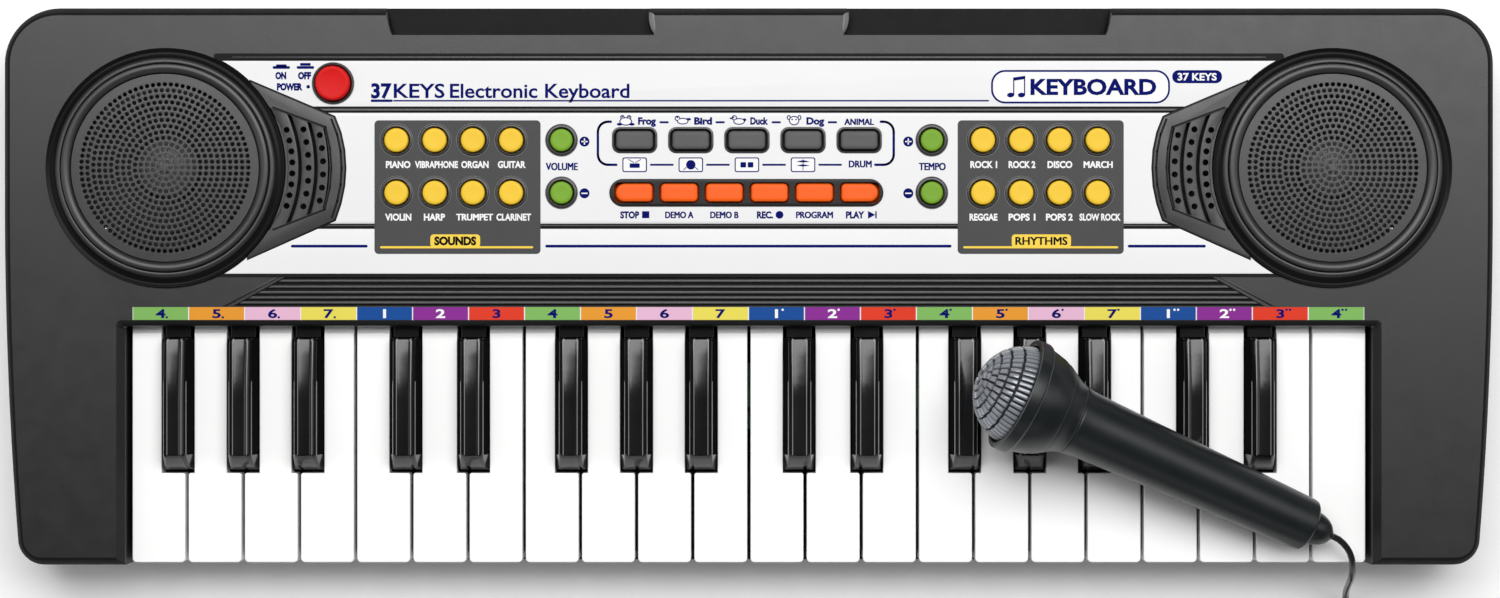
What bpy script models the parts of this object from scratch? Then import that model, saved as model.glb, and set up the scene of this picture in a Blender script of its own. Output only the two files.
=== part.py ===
"""Toy electronic keyboard with 37 mini keys, keypads under a printed panel, two speakers and a wired microphone.

Units are metres. X runs along the keys from bass to treble, Y from the player's side to the rear and Z up.
The origin is the centre of the rectangle that the case covers, on the surface that its feet stand on.
"""

from math import cos, pi, radians, sin

import bmesh
import bpy
from mathutils import Matrix, Vector

# Case
CASE_LENGTH = 0.535
CASE_DEPTH = 0.200
CASE_TOP = 0.044
PARTING_HEIGHT = 0.015
FLOOR_LOW = 0.004
WALL = 0.0026
REAR_CORNER = 0.020
FRONT_CORNER = 0.0095
SIDE_TAPER = 0.0055
TAPER_START_Y = 0.030
TOP_EDGE_ROUND = 0.0035
GAP = 0.0003
FOOT_RADIUS = 0.007
FOOT_PLACES = ((-0.238, 0.080), (0.238, 0.080), (-0.240, -0.080), (0.240, -0.080))

# Ledge along the rear of the top, on both sides of a middle tab
LEDGE_LOW = 0.038
LEDGE_FRONT_Y = 0.090
LEDGE_INNER_X = 0.037
LEDGE_OUTER_X = 0.1305

# Keys
WHITE_COUNT = 22
WHITE_PITCH = 0.02025
WHITE_GAP = 0.0009
WHITE_TOP = 0.036
WHITE_THICK = 0.009
WHITE_SKIRT_LOW = 0.0205
WHITE_SKIRT_THICK = 0.003
WHITE_CORNER = 0.0015
KEY_FRONT_Y = -0.0994
KEY_REAR_Y = 0.0085
WELL_REAR_Y = -0.0143
WELL_HALF_WIDTH = 0.2238
WELL_CHAMFER = 0.0027
BLACK_WIDTH = 0.0110
BLACK_TOP_WIDTH = 0.0078
BLACK_TOP = 0.045
BLACK_FRONT_Y = -0.0666
BLACK_SLOPE = 0.0053
BLACK_HEAD_REAR_Y = -0.0178
BLACK_TAIL_WIDTH = 0.009
BLACK_TAIL_TOP = 0.035
BLACK_CLEARANCE = 0.0004
# The white keys run F G A B C D E. Each entry is how far the black key after that note sits from the gap
# between its two white keys, and None means that no black key follows.
BLACK_OFFSETS = (-0.0032, 0.0, 0.0031, None, -0.0021, 0.0020, None)

# Control panel and the keypads under it
PANEL_LOW = CASE_TOP + GAP
PANEL_TOP = 0.0453
PANEL_FRONT_Y = 0.0045
PANEL_REAR_Y = 0.0807
PANEL_HALF_WIDTH = 0.1905
CONTROL_X = -0.0007
ROW_REAR_Y = 0.0523
ROW_FRONT_Y = 0.0335
MAT_LOW = 0.0385
MAT_TOP = 0.0400
CAP_TOP = 0.0470
CAP_CLEARANCE = 0.0005
SOUND_X = -0.1055
RHYTHM_X = 0.1042
SMALL_PITCH = 0.01367
SMALL_RADIUS = 0.0043
ROCKER_X = ((-0.0670, "volume_keypad"), (0.0654, "tempo_keypad"))
ROCKER_RADIUS = 0.0040
PAD_PITCH = 0.02007
PAD_SIZE = (0.0136, 0.0068)
FUNCTION_PITCH = 0.01612
FUNCTION_SIZE = (0.0136, 0.0066)
POWER_PLACE = (-0.1487, 0.0726)
POWER_RADIUS = 0.0062
POWER_TOP = 0.0485

# Speakers
SPEAKER_X = 0.2087
SPEAKER_Y = 0.0424
SPEAKER_RING = 0.043
SPEAKER_HOLE = 0.034
VENT_OUTER_X = 0.1783
VENT_INNER_X = 0.1480
VENT_OUTER_HALF = 0.0310
VENT_INNER_HALF = 0.0176

# Battery bay in the underside
BAY_HALF_WIDTH = 0.052
BAY_FRONT_Y = 0.034
BAY_REAR_Y = 0.082
BAY_TOP = 0.022
DOOR_GAP = 0.0004

# Microphone: the middle of its collar, its turn in plan and its downward tilt
MIC_COLLAR = Vector((0.0968, -0.0391, 0.0661))
MIC_TURN = radians(-24.2)
MIC_TILT = radians(9.6)
MIC_BALL_RADIUS = 0.0181
MIC_COLLAR_RADIUS = 0.0207
MIC_LENGTH = 0.1150
MIC_KNOB = 0.009

# Microphone cord. The first stretch falls from the microphone to the table, and the rest is coiled.
CORD_RADIUS = 0.0012
COIL_CENTRE = (0.206, -0.1461)
COIL_RADIUS = 0.0155
COIL_HALF_WIDTH = 0.0048
COIL_LOW = 0.0003
COIL_HIGH = 0.0096
PLUG_TAIL = Vector((0.1896, -0.1615, 0.0043))
CORD_ROUTE = (
    (0.2088, -0.0894, 0.0454),
    (0.2111, -0.0906, 0.0451),
    (0.2135, -0.0928, 0.0442),
    (0.2154, -0.0956, 0.0428),
    (0.2166, -0.0989, 0.0406),
    (0.2173, -0.1022, 0.0372),
    (0.2178, -0.1050, 0.0324),
    (0.2182, -0.1072, 0.0265),
    (0.2187, -0.1092, 0.0200),
    (0.2193, -0.1112, 0.0135),
    (0.2200, -0.1136, 0.0076),
    (0.2207, -0.1168, 0.0035),
    (0.2212, -0.1210, 0.0019),
    (0.2214, -0.1255, 0.0016),
    (0.2215, -0.1318, 0.0016),
)


def make_collection(name):
    """A new collection in the scene."""
    collection = bpy.data.collections.new(name)
    bpy.context.scene.collection.children.link(collection)
    return collection


def make_material(name, colour, roughness, metallic=0.0):
    """A plain Principled material."""
    material = bpy.data.materials.new(name)
    material.use_nodes = True
    shader = material.node_tree.nodes["Principled BSDF"]
    shader.inputs["Base Color"].default_value = (*colour, 1.0)
    shader.inputs["Roughness"].default_value = roughness
    shader.inputs["Metallic"].default_value = metallic
    material.diffuse_color = (*colour, 1.0)
    return material


def place_mesh(name, bm, material=None, cutter=False):
    """An object made from a bmesh, which is freed."""
    bmesh.ops.recalc_face_normals(bm, faces=bm.faces)
    mesh = bpy.data.meshes.new(name)
    bm.to_mesh(mesh)
    bm.free()
    obj = bpy.data.objects.new(name, mesh)
    if cutter:
        obj.hide_render = True
        obj.display_type = "WIRE"
        CUTTERS.objects.link(obj)
    else:
        mesh.materials.append(material)
        KEYBOARD.objects.link(obj)
    return obj


def combine(obj, bm, operation):
    """Cuts the bmesh's solids from the object, or joins them to it."""
    tool = place_mesh(f"{obj.name}_{operation.lower()}_{len(obj.modifiers)}", bm, cutter=True)
    tool.matrix_world = obj.matrix_world
    modifier = obj.modifiers.new(operation.title(), "BOOLEAN")
    modifier.operation = operation
    modifier.solver = "EXACT"
    modifier.object = tool


def add_box(bm, x, y, z):
    """A box between two values on each axis."""
    size = Vector((x[1] - x[0], y[1] - y[0], z[1] - z[0]))
    middle = Vector((x[0] + x[1], y[0] + y[1], z[0] + z[1])) / 2
    bmesh.ops.create_cube(bm, size=1, matrix=Matrix.Translation(middle) @ Matrix.Diagonal((*size, 1)))


def add_cylinder(bm, centre, radius, z, segments=16):
    """An upright cylinder."""
    place = Matrix.Translation((centre[0], centre[1], (z[0] + z[1]) / 2))
    bmesh.ops.create_cone(bm, cap_ends=True, segments=segments, radius1=radius, radius2=radius,
                          depth=z[1] - z[0], matrix=place)


def add_prism(bm, outline, z):
    """An upright prism over a flat outline. Returns the edges round its top."""
    face = bm.faces.new([bm.verts.new((x, y, z[0])) for x, y in outline])
    grown = bmesh.ops.extrude_face_region(bm, geom=[face])["geom"]
    raised = [item for item in grown if isinstance(item, bmesh.types.BMVert)]
    bmesh.ops.translate(bm, verts=raised, vec=(0, 0, z[1] - z[0]))
    return [item for item in grown if isinstance(item, bmesh.types.BMEdge)]


def arc(centre, radius, start, end, steps):
    """Points along an arc, from one angle in degrees to another."""
    angles = [radians(start + (end - start) * step / steps) for step in range(steps + 1)]
    return [(centre[0] + radius * cos(a), centre[1] + radius * sin(a)) for a in angles]


def half_width(y):
    """Half the length of the case at a depth: the ends draw in gently towards the player."""
    inward = max(0.0, TAPER_START_Y - y) / (TAPER_START_Y + CASE_DEPTH / 2)
    return CASE_LENGTH / 2 - SIDE_TAPER * inward * inward


def case_outline(inset=0.0):
    """The case seen from above, anticlockwise from the front right corner."""
    rear = CASE_DEPTH / 2
    front_centre_y = -rear + FRONT_CORNER
    front_centre_x = half_width(front_centre_y) - FRONT_CORNER
    rear_centre = (CASE_LENGTH / 2 - REAR_CORNER, rear - REAR_CORNER)
    right = arc((front_centre_x, front_centre_y), FRONT_CORNER - inset, -90, 0, 4)
    right += [(half_width(y) - inset, y) for y in (-0.070, -0.045, -0.020, 0.005)]
    right += arc(rear_centre, REAR_CORNER - inset, 0, 90, 6)
    return right + [(-x, y) for x, y in reversed(right)]


def rounded_rectangle(centre, size, radius, steps=3):
    """A rectangle with round corners, seen from above."""
    points = []
    for turn, (side_x, side_y) in enumerate(((1, 1), (-1, 1), (-1, -1), (1, -1))):
        corner = (centre[0] + side_x * (size[0] / 2 - radius), centre[1] + side_y * (size[1] / 2 - radius))
        points += arc(corner, radius, 90 * turn, 90 * turn + 90, steps)
    return points


def turned(name, profile, material, segments, place=None):
    """A solid of revolution about its own Z. The profile runs down its outer side, radius and height."""
    bm = bmesh.new()
    points = [bm.verts.new((radius, 0, height)) for radius, height in profile]
    for first, second in zip(points, points[1:]):
        bm.edges.new((first, second))
    mesh = bpy.data.meshes.new(name)
    bm.to_mesh(mesh)
    bm.free()
    mesh.materials.append(material)
    obj = bpy.data.objects.new(name, mesh)
    KEYBOARD.objects.link(obj)
    obj.matrix_world = place or Matrix.Identity(4)
    screw = obj.modifiers.new("Turn", "SCREW")
    screw.angle = 2 * pi
    screw.steps = segments
    screw.render_steps = segments
    screw.use_merge_vertices = True
    screw.merge_threshold = 0.00001
    screw.use_smooth_shade = True
    return obj


def make_top_case():
    """The upper shell: deck, walls, cheeks beside the keys, windows for the panel and speakers, rear ledge."""
    bm = bmesh.new()
    rim = add_prism(bm, case_outline(), (PARTING_HEIGHT + GAP, CASE_TOP))
    bmesh.ops.bevel(bm, geom=rim, offset=TOP_EDGE_ROUND, segments=3, profile=0.5, affect="EDGES")
    case = place_mesh("top_case", bm, CASE_GREY)

    deck_low = CASE_TOP - WALL
    hollow = bmesh.new()
    add_prism(hollow, case_outline(WALL), (0.0, deck_low))
    combine(case, hollow, "DIFFERENCE")

    walls = bmesh.new()
    reach = WELL_HALF_WIDTH + 0.0031
    front_y = -CASE_DEPTH / 2 + 0.001
    for side in (-1, 1):
        inner, outer = sorted((side * (WELL_HALF_WIDTH - 0.001), side * reach))
        add_box(walls, (inner, outer), (front_y, WELL_REAR_Y + WALL), (PARTING_HEIGHT + GAP, deck_low + 0.0002))
        near, far = sorted((side * (LEDGE_INNER_X - WALL), side * (LEDGE_OUTER_X + WALL)))
        add_box(walls, (near, far), (LEDGE_FRONT_Y - WALL, CASE_DEPTH / 2 - WALL / 2),
                (LEDGE_LOW - WALL, deck_low + 0.0002))
    combine(case, walls, "UNION")

    fall = bmesh.new()
    add_box(fall, (-WELL_HALF_WIDTH - 0.001, WELL_HALF_WIDTH + 0.001), (WELL_REAR_Y - 0.001, WELL_REAR_Y + WALL),
            (WHITE_TOP + 0.0022, deck_low + 0.0002))
    combine(case, fall, "UNION")

    well = bmesh.new()
    top = CASE_TOP + 0.010
    low_half = WELL_HALF_WIDTH
    high_half = WELL_HALF_WIDTH + WELL_CHAMFER
    section = [(-low_half, 0.0), (low_half, 0.0), (low_half, CASE_TOP - WELL_CHAMFER), (high_half, CASE_TOP),
               (high_half, top), (-high_half, top), (-high_half, CASE_TOP), (-low_half, CASE_TOP - WELL_CHAMFER)]
    add_prism(well, section, (0.0, 0.110))
    stand_up = Matrix.Translation((0, WELL_REAR_Y, 0)) @ Matrix.Rotation(pi / 2, 4, "X")
    bmesh.ops.transform(well, matrix=stand_up, verts=well.verts)
    combine(case, well, "DIFFERENCE")

    windows = bmesh.new()
    window_z = (deck_low - 0.002, CASE_TOP + 0.002)
    add_box(windows, (-0.140, 0.140), (PANEL_FRONT_Y + 0.004, PANEL_REAR_Y - 0.004), window_z)
    add_cylinder(windows, POWER_PLACE, POWER_RADIUS + CAP_CLEARANCE, window_z)
    for side in (-1, 1):
        add_cylinder(windows, (side * SPEAKER_X, SPEAKER_Y), SPEAKER_HOLE, window_z, 32)
        near, far = sorted((side * LEDGE_INNER_X, side * LEDGE_OUTER_X))
        add_box(windows, (near, far), (LEDGE_FRONT_Y, CASE_DEPTH / 2 + 0.002), (LEDGE_LOW, top))
    combine(case, windows, "DIFFERENCE")


def make_bottom_case():
    """The lower shell: floor with feet, low walls, and a battery bay that opens downwards."""
    floor_top = FLOOR_LOW + WALL
    bm = bmesh.new()
    add_prism(bm, case_outline(), (FLOOR_LOW, PARTING_HEIGHT))
    case = place_mesh("bottom_case", bm, CASE_GREY)

    hollow = bmesh.new()
    add_prism(hollow, case_outline(WALL), (floor_top, PARTING_HEIGHT + 0.010))
    combine(case, hollow, "DIFFERENCE")

    extras = bmesh.new()
    for place in FOOT_PLACES:
        add_cylinder(extras, place, FOOT_RADIUS, (0.0, floor_top - 0.001), 16)
    add_box(extras, (-BAY_HALF_WIDTH - WALL, BAY_HALF_WIDTH + WALL), (BAY_FRONT_Y - WALL, BAY_REAR_Y + WALL),
            (FLOOR_LOW + 0.001, BAY_TOP + WALL))
    combine(case, extras, "UNION")

    bay = bmesh.new()
    add_box(bay, (-BAY_HALF_WIDTH, BAY_HALF_WIDTH), (BAY_FRONT_Y, BAY_REAR_Y), (0.0, BAY_TOP))
    combine(case, bay, "DIFFERENCE")


def make_battery_door():
    """The flat cover that closes the battery bay. It swings down about its front edge."""
    bm = bmesh.new()
    x = BAY_HALF_WIDTH - DOOR_GAP
    add_box(bm, (-x, x), (BAY_FRONT_Y + DOOR_GAP, BAY_REAR_Y - DOOR_GAP), (FLOOR_LOW + 0.0002, FLOOR_LOW + 0.0022))
    place_mesh("battery_door", bm, CASE_GREY)


def small_button_places(middle_x):
    """The two rows of four round buttons about a middle."""
    return [(middle_x + SMALL_PITCH * (column - 1.5), y)
            for y in (ROW_REAR_Y, ROW_FRONT_Y) for column in range(4)]


def row_places(pitch, count, y):
    """Evenly spaced places in one row, centred on the controls."""
    return [(CONTROL_X + pitch * (column - (count - 1) / 2), y) for column in range(count)]


def make_control_panel():
    """The white printed panel, cut round the speakers and vents, with a hole for each button."""
    bm = bmesh.new()
    middle = (0, (PANEL_FRONT_Y + PANEL_REAR_Y) / 2)
    size = (2 * PANEL_HALF_WIDTH, PANEL_REAR_Y - PANEL_FRONT_Y)
    add_prism(bm, rounded_rectangle(middle, size, 0.001, 1), (PANEL_LOW, PANEL_TOP))
    panel = place_mesh("control_panel", bm, PANEL_WHITE)

    z = (PANEL_LOW - 0.002, PANEL_TOP + 0.002)
    rings = bmesh.new()
    for side in (-1, 1):
        add_cylinder(rings, (side * SPEAKER_X, SPEAKER_Y), SPEAKER_RING + 0.0006, z, 48)
    combine(panel, rings, "DIFFERENCE")

    vents = bmesh.new()
    for side in (-1, 1):
        corners = [(side * (VENT_OUTER_X + 0.004), SPEAKER_Y + VENT_OUTER_HALF + 0.0018),
                   (side * VENT_INNER_X, SPEAKER_Y + VENT_INNER_HALF),
                   (side * VENT_INNER_X, SPEAKER_Y - VENT_INNER_HALF),
                   (side * (VENT_OUTER_X + 0.004), SPEAKER_Y - VENT_OUTER_HALF - 0.0018)]
        add_prism(vents, corners, z)
    combine(panel, vents, "DIFFERENCE")

    holes = bmesh.new()
    for place in small_button_places(SOUND_X) + small_button_places(RHYTHM_X):
        add_cylinder(holes, place, SMALL_RADIUS + CAP_CLEARANCE, z, 12)
    for x, _ in ROCKER_X:
        for y in (ROW_REAR_Y, ROW_FRONT_Y):
            add_cylinder(holes, (x, y), ROCKER_RADIUS + CAP_CLEARANCE, z, 12)
    add_cylinder(holes, POWER_PLACE, POWER_RADIUS + CAP_CLEARANCE, z, 16)
    for place in row_places(PAD_PITCH, 5, ROW_REAR_Y):
        add_prism(holes, button_outline(place, PAD_SIZE, CAP_CLEARANCE), z)
    for place in row_places(FUNCTION_PITCH, 6, ROW_FRONT_Y):
        add_prism(holes, button_outline(place, FUNCTION_SIZE, CAP_CLEARANCE), z)
    combine(panel, holes, "DIFFERENCE")


def button_outline(place, size, margin=0.0):
    """The outline of an oblong button cap, or of the hole round it."""
    grown = (size[0] + 2 * margin, size[1] + 2 * margin)
    return rounded_rectangle(place, grown, 0.0016 + margin, 2)


def make_keypad(name, material, caps, margin=0.0055):
    """A rubber mat with its caps standing up through the panel. A cap is a place with a radius or a size."""
    xs = [cap[0][0] for cap in caps]
    ys = [cap[0][1] for cap in caps]
    wide = margin if isinstance(caps[0][1], float) else caps[0][1][0] / 2 + 0.001
    bm = bmesh.new()
    add_box(bm, (min(xs) - wide, max(xs) + wide), (min(ys) - margin, max(ys) + margin), (MAT_LOW, MAT_TOP))
    keypad = place_mesh(name, bm, material)
    caps_mesh = bmesh.new()
    for place, size in caps:
        if isinstance(size, float):
            add_cylinder(caps_mesh, place, size, (MAT_TOP - 0.0005, CAP_TOP), 12)
        else:
            add_prism(caps_mesh, button_outline(place, size), (MAT_TOP - 0.0005, CAP_TOP))
    combine(keypad, caps_mesh, "UNION")


def make_keypads():
    """All the buttons: three coloured keypads, two pairs, the pads, the function row and the power button."""
    make_keypad("sounds_keypad", BUTTON_YELLOW, [(p, SMALL_RADIUS) for p in small_button_places(SOUND_X)])
    make_keypad("rhythms_keypad", BUTTON_YELLOW, [(p, SMALL_RADIUS) for p in small_button_places(RHYTHM_X)])
    for x, name in ROCKER_X:
        make_keypad(name, BUTTON_GREEN, [((x, y), ROCKER_RADIUS) for y in (ROW_REAR_Y, ROW_FRONT_Y)])
    make_keypad("drum_keypad", BUTTON_GREY, [(p, PAD_SIZE) for p in row_places(PAD_PITCH, 5, ROW_REAR_Y)])
    make_keypad("function_keypad", BUTTON_ORANGE,
                [(p, FUNCTION_SIZE) for p in row_places(FUNCTION_PITCH, 6, ROW_FRONT_Y)])
    profile = [(0.0, POWER_TOP), (POWER_RADIUS - 0.0008, POWER_TOP), (POWER_RADIUS, POWER_TOP - 0.0008),
               (POWER_RADIUS, MAT_TOP), (POWER_RADIUS + 0.0016, MAT_TOP), (POWER_RADIUS + 0.0016, MAT_LOW),
               (0.0, MAT_LOW)]
    turned("power_button", profile, BUTTON_RED, 20, Matrix.Translation((*POWER_PLACE, 0)))


def make_speakers():
    """On each side a round grille on the deck and a driver hanging under it."""
    grille = [(0.0, 0.0469), (0.018, 0.0467), (0.0338, 0.0461), (0.0346, 0.0474), (0.0362, 0.0478),
              (0.0374, 0.0470), (0.0378, 0.0452), (0.0425, 0.0452), (SPEAKER_RING, 0.0456),
              (SPEAKER_RING, PANEL_LOW), (0.0, PANEL_LOW)]
    driver = [(0.0, 0.034), (0.009, 0.0335), (0.027, 0.0405), (0.0325, 0.0405), (0.0325, 0.0385),
              (0.028, 0.0375), (0.018, 0.027), (0.018, 0.020), (0.0, 0.020)]
    for side, name in ((-1, "left_speaker"), (1, "right_speaker")):
        place = Matrix.Translation((side * SPEAKER_X, SPEAKER_Y, 0))
        turned(f"{name}_grille", grille, CASE_GREY, 32, place)
        turned(name, driver, SPEAKER_BLACK, 24, place)


def white_span(number):
    """The left and right sides of a white key's wide front part."""
    left = WHITE_PITCH * (number - WHITE_COUNT / 2)
    return left + WHITE_GAP / 2, left + WHITE_PITCH - WHITE_GAP / 2


def black_after(number):
    """The middle of the black key after a white key, or None."""
    offset = BLACK_OFFSETS[number % 7]
    if offset is None or not 0 <= number < WHITE_COUNT - 1:
        return None
    return WHITE_PITCH * (number + 1 - WHITE_COUNT / 2) + offset


def make_white_key(number):
    """A white key: wide in front, notched beside the black keys, with a skirt that hides its front."""
    left, right = white_span(number)
    notch = BLACK_WIDTH / 2 + BLACK_CLEARANCE
    before, after = black_after(number - 1), black_after(number)
    tail_left = left if before is None else before + notch
    tail_right = right if after is None else after - notch
    shoulder_y = BLACK_FRONT_Y - BLACK_CLEARANCE
    radius = WHITE_CORNER
    outline = arc((left + radius, KEY_FRONT_Y + radius), radius, 180, 270, 2)
    outline += arc((right - radius, KEY_FRONT_Y + radius), radius, 270, 360, 2)
    if after is not None:
        outline += [(right, shoulder_y), (tail_right, shoulder_y)]
    outline += [(tail_right, KEY_REAR_Y), (tail_left, KEY_REAR_Y)]
    if before is not None:
        outline += [(tail_left, shoulder_y), (left, shoulder_y)]
    bm = bmesh.new()
    add_prism(bm, outline, (WHITE_TOP - WHITE_THICK, WHITE_TOP))
    key = place_mesh(f"white_key_{number + 1:02d}", bm, KEY_WHITE)
    skirt = bmesh.new()
    add_box(skirt, (left + radius, right - radius), (KEY_FRONT_Y + 0.0001, KEY_FRONT_Y + WHITE_SKIRT_THICK),
            (WHITE_SKIRT_LOW, WHITE_TOP - WHITE_THICK + 0.001))
    combine(key, skirt, "UNION")


def make_black_key(number, middle):
    """A black key: a head with sloping sides and front, and a low tail that runs back to the hinge."""
    low, high = WHITE_TOP - WHITE_THICK, BLACK_TOP
    bm = bmesh.new()
    add_box(bm, (middle - BLACK_WIDTH / 2, middle + BLACK_WIDTH / 2), (BLACK_FRONT_Y, BLACK_HEAD_REAR_Y),
            (low, high))
    for vert in bm.verts:
        if vert.co.z > (low + high) / 2:
            vert.co.x = middle + (vert.co.x - middle) * BLACK_TOP_WIDTH / BLACK_WIDTH
            vert.co.y += BLACK_SLOPE if vert.co.y < BLACK_HEAD_REAR_Y - 0.001 else 0.0
    key = place_mesh(f"black_key_{number:02d}", bm, KEY_BLACK)
    tail = bmesh.new()
    add_box(tail, (middle - BLACK_TAIL_WIDTH / 2, middle + BLACK_TAIL_WIDTH / 2),
            (BLACK_HEAD_REAR_Y - 0.001, KEY_REAR_Y), (low + 0.0004, BLACK_TAIL_TOP))
    combine(key, tail, "UNION")


def make_keys():
    """The 22 white keys from F to F and the 15 black keys between them."""
    blacks = 0
    for number in range(WHITE_COUNT):
        make_white_key(number)
        middle = black_after(number)
        if middle is not None:
            blacks += 1
            make_black_key(blacks, middle)


def make_inner_parts():
    """The key frame, the contact board under the keys and the main board under the keypads."""
    reach = 0.2215
    frame = bmesh.new()
    add_box(frame, (-reach, reach), (-0.062, 0.013), (0.0140, 0.0165))
    key_frame = place_mesh("key_frame", frame, FRAME_BLACK)
    ribs = bmesh.new()
    add_box(ribs, (-reach, reach), (KEY_REAR_Y + 0.0007, 0.013), (0.0070, 0.0355))
    add_box(ribs, (-reach, reach), (-0.062, -0.0594), (0.0070, 0.0150))
    combine(key_frame, ribs, "UNION")

    board = bmesh.new()
    add_box(board, (-reach, reach), (-0.052, -0.028), (0.0168, 0.0184))
    contact_board = place_mesh("key_contact_board", board, BOARD_GREEN)
    strip = bmesh.new()
    add_box(strip, (-reach + 0.001, reach - 0.001), (-0.044, -0.036), (0.0180, 0.0236))
    combine(contact_board, strip, "UNION")

    main = bmesh.new()
    add_box(main, (-0.157, 0.137), (0.0260, 0.0800), (0.0345, 0.0361))
    place_mesh("main_board", main, BOARD_GREEN)


def mic_matrix():
    """The microphone's frame: its own Z runs from the collar to the tail."""
    along = Vector((cos(MIC_TURN) * cos(MIC_TILT), sin(MIC_TURN) * cos(MIC_TILT), -sin(MIC_TILT)))
    turn = Vector((0, 0, 1)).rotation_difference(along).to_matrix().to_4x4()
    return Matrix.Translation(MIC_COLLAR) @ turn


def make_microphone():
    """The head's round grille, and the collar, cone and tapered handle with the cord's relief at its end."""
    ball = [(MIC_BALL_RADIUS * cos(radians(a)), -GAP - (MIC_BALL_RADIUS - GAP) * sin(radians(a)))
            for a in range(0, 90, 10)]
    head = [(0.0, -GAP)] + ball + [(0.0, -MIC_BALL_RADIUS)]
    turned("mic_head_grille", head, MIC_SILVER, 24, mic_matrix())
    end = MIC_LENGTH
    bore = MIC_BALL_RADIUS + 0.0005
    knob = [(0.0061 * cos(radians(a)), end + MIC_KNOB * sin(radians(a))) for a in range(75, -1, -15)]
    body = [(0.0, end + MIC_KNOB)] + knob
    body += [(0.0083, end), (0.0094, end - 0.001), (0.0113, 0.0320), (0.0118, 0.0290), (0.0121, 0.0250),
             (0.0127, 0.0190), (0.0137, 0.0160), (0.0156, 0.0130), (0.0173, 0.0095), (0.0186, 0.0060),
             (0.0193, 0.0025), (MIC_COLLAR_RADIUS - 0.0004, 0.0011), (MIC_COLLAR_RADIUS, 0.0007),
             (MIC_COLLAR_RADIUS, -0.0032), (MIC_COLLAR_RADIUS - 0.0006, -0.0037), (bore + 0.0004, -0.0037),
             (bore, -0.0033), (bore, 0.0), (0.0, 0.0)]
    turned("mic_body", body, MIC_BLACK, 24, mic_matrix())


def smooth_route(points, spacing):
    """Evenly spaced points on the smooth curve through a route's points."""
    knots = [Vector(p) for p in points]
    knots = [2 * knots[0] - knots[1]] + knots + [2 * knots[-1] - knots[-2]]
    fine = []
    for a, b, c, d in zip(knots, knots[1:], knots[2:], knots[3:]):
        for step in range(10):
            t = step / 10
            fine.append(0.5 * (2 * b + (c - a) * t + (2 * a - 5 * b + 4 * c - d) * t * t
                               + (3 * b - a - 3 * c + d) * t * t * t))
    fine.append(knots[-2])
    kept = [fine[0]]
    for point in fine[1:-1]:
        if (point - kept[-1]).length >= spacing and (point - fine[-1]).length >= spacing / 2:
            kept.append(point)
    return kept + [fine[-1]]


def make_cord():
    """The cord from the microphone down to the table, the coil that the rest of it makes, and its plug."""
    curve = bpy.data.curves.new("mic_cord", "CURVE")
    curve.dimensions = "3D"
    curve.bevel_depth = CORD_RADIUS
    curve.bevel_resolution = 2
    curve.use_fill_caps = True
    points = smooth_route(CORD_ROUTE, 0.0055)
    spline = curve.splines.new("POLY")
    spline.points.add(len(points) - 1)
    for target, point in zip(spline.points, points):
        target.co = (*point, 1)
    curve.materials.append(MIC_BLACK)
    KEYBOARD.objects.link(bpy.data.objects.new("mic_cord", curve))

    half_height = (COIL_HIGH - COIL_LOW) / 2
    middle = COIL_LOW + half_height
    ring = [(COIL_RADIUS + COIL_HALF_WIDTH * cos(radians(a)), middle + half_height * sin(radians(a)))
            for a in range(90, -271, -45)]
    turned("mic_coil", ring, MIC_BLACK, 28, Matrix.Translation((*COIL_CENTRE, 0)))

    lie_down = Matrix.Translation(PLUG_TAIL) @ Matrix.Rotation(-pi / 2, 4, "Y")
    plug = [(0.0, 0.0380), (0.0010, 0.0380), (0.0017, 0.0366), (0.0017, 0.0240), (0.0038, 0.0240),
            (0.0040, 0.0236), (0.0040, 0.0090), (0.0034, 0.0080), (0.0020, 0.0), (0.0, 0.0)]
    turned("mic_plug", plug, MIC_BLACK, 16, lie_down)


for old in list(bpy.data.objects):
    bpy.data.objects.remove(old, do_unlink=True)

KEYBOARD = make_collection("toy_keyboard")
CUTTERS = make_collection("cutters")
CASE_GREY = make_material("case_grey", (0.055, 0.055, 0.056), 0.5)
PANEL_WHITE = make_material("panel_white", (0.85, 0.85, 0.85), 0.45)
KEY_WHITE = make_material("key_white", (0.86, 0.86, 0.85), 0.3)
KEY_BLACK = make_material("key_black", (0.01, 0.01, 0.01), 0.2)
BUTTON_YELLOW = make_material("button_yellow", (0.92, 0.62, 0.07), 0.5)
BUTTON_GREEN = make_material("button_green", (0.22, 0.40, 0.06), 0.5)
BUTTON_GREY = make_material("button_grey", (0.13, 0.13, 0.13), 0.6)
BUTTON_ORANGE = make_material("button_orange", (0.91, 0.16, 0.02), 0.5)
BUTTON_RED = make_material("button_red", (0.70, 0.03, 0.03), 0.45)
SPEAKER_BLACK = make_material("speaker_black", (0.02, 0.02, 0.02), 0.7)
FRAME_BLACK = make_material("frame_black", (0.03, 0.03, 0.03), 0.6)
BOARD_GREEN = make_material("board_green", (0.03, 0.17, 0.06), 0.5)
MIC_BLACK = make_material("mic_black", (0.012, 0.012, 0.012), 0.45)
MIC_SILVER = make_material("mic_silver", (0.36, 0.37, 0.38), 0.4)

make_top_case()
make_bottom_case()
make_battery_door()
make_control_panel()
make_keypads()
make_speakers()
make_keys()
make_inner_parts()
make_microphone()
make_cord()
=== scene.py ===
"""The looks of the toy electronic keyboard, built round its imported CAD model.

Sizes are in millimetres in the row frame until a piece is finished, which puts them in metres.
"""

from math import ceil, cos, hypot, pi, radians, sin, sqrt

import bmesh
import bpy
from mathutils import Matrix, Vector, noise


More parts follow.
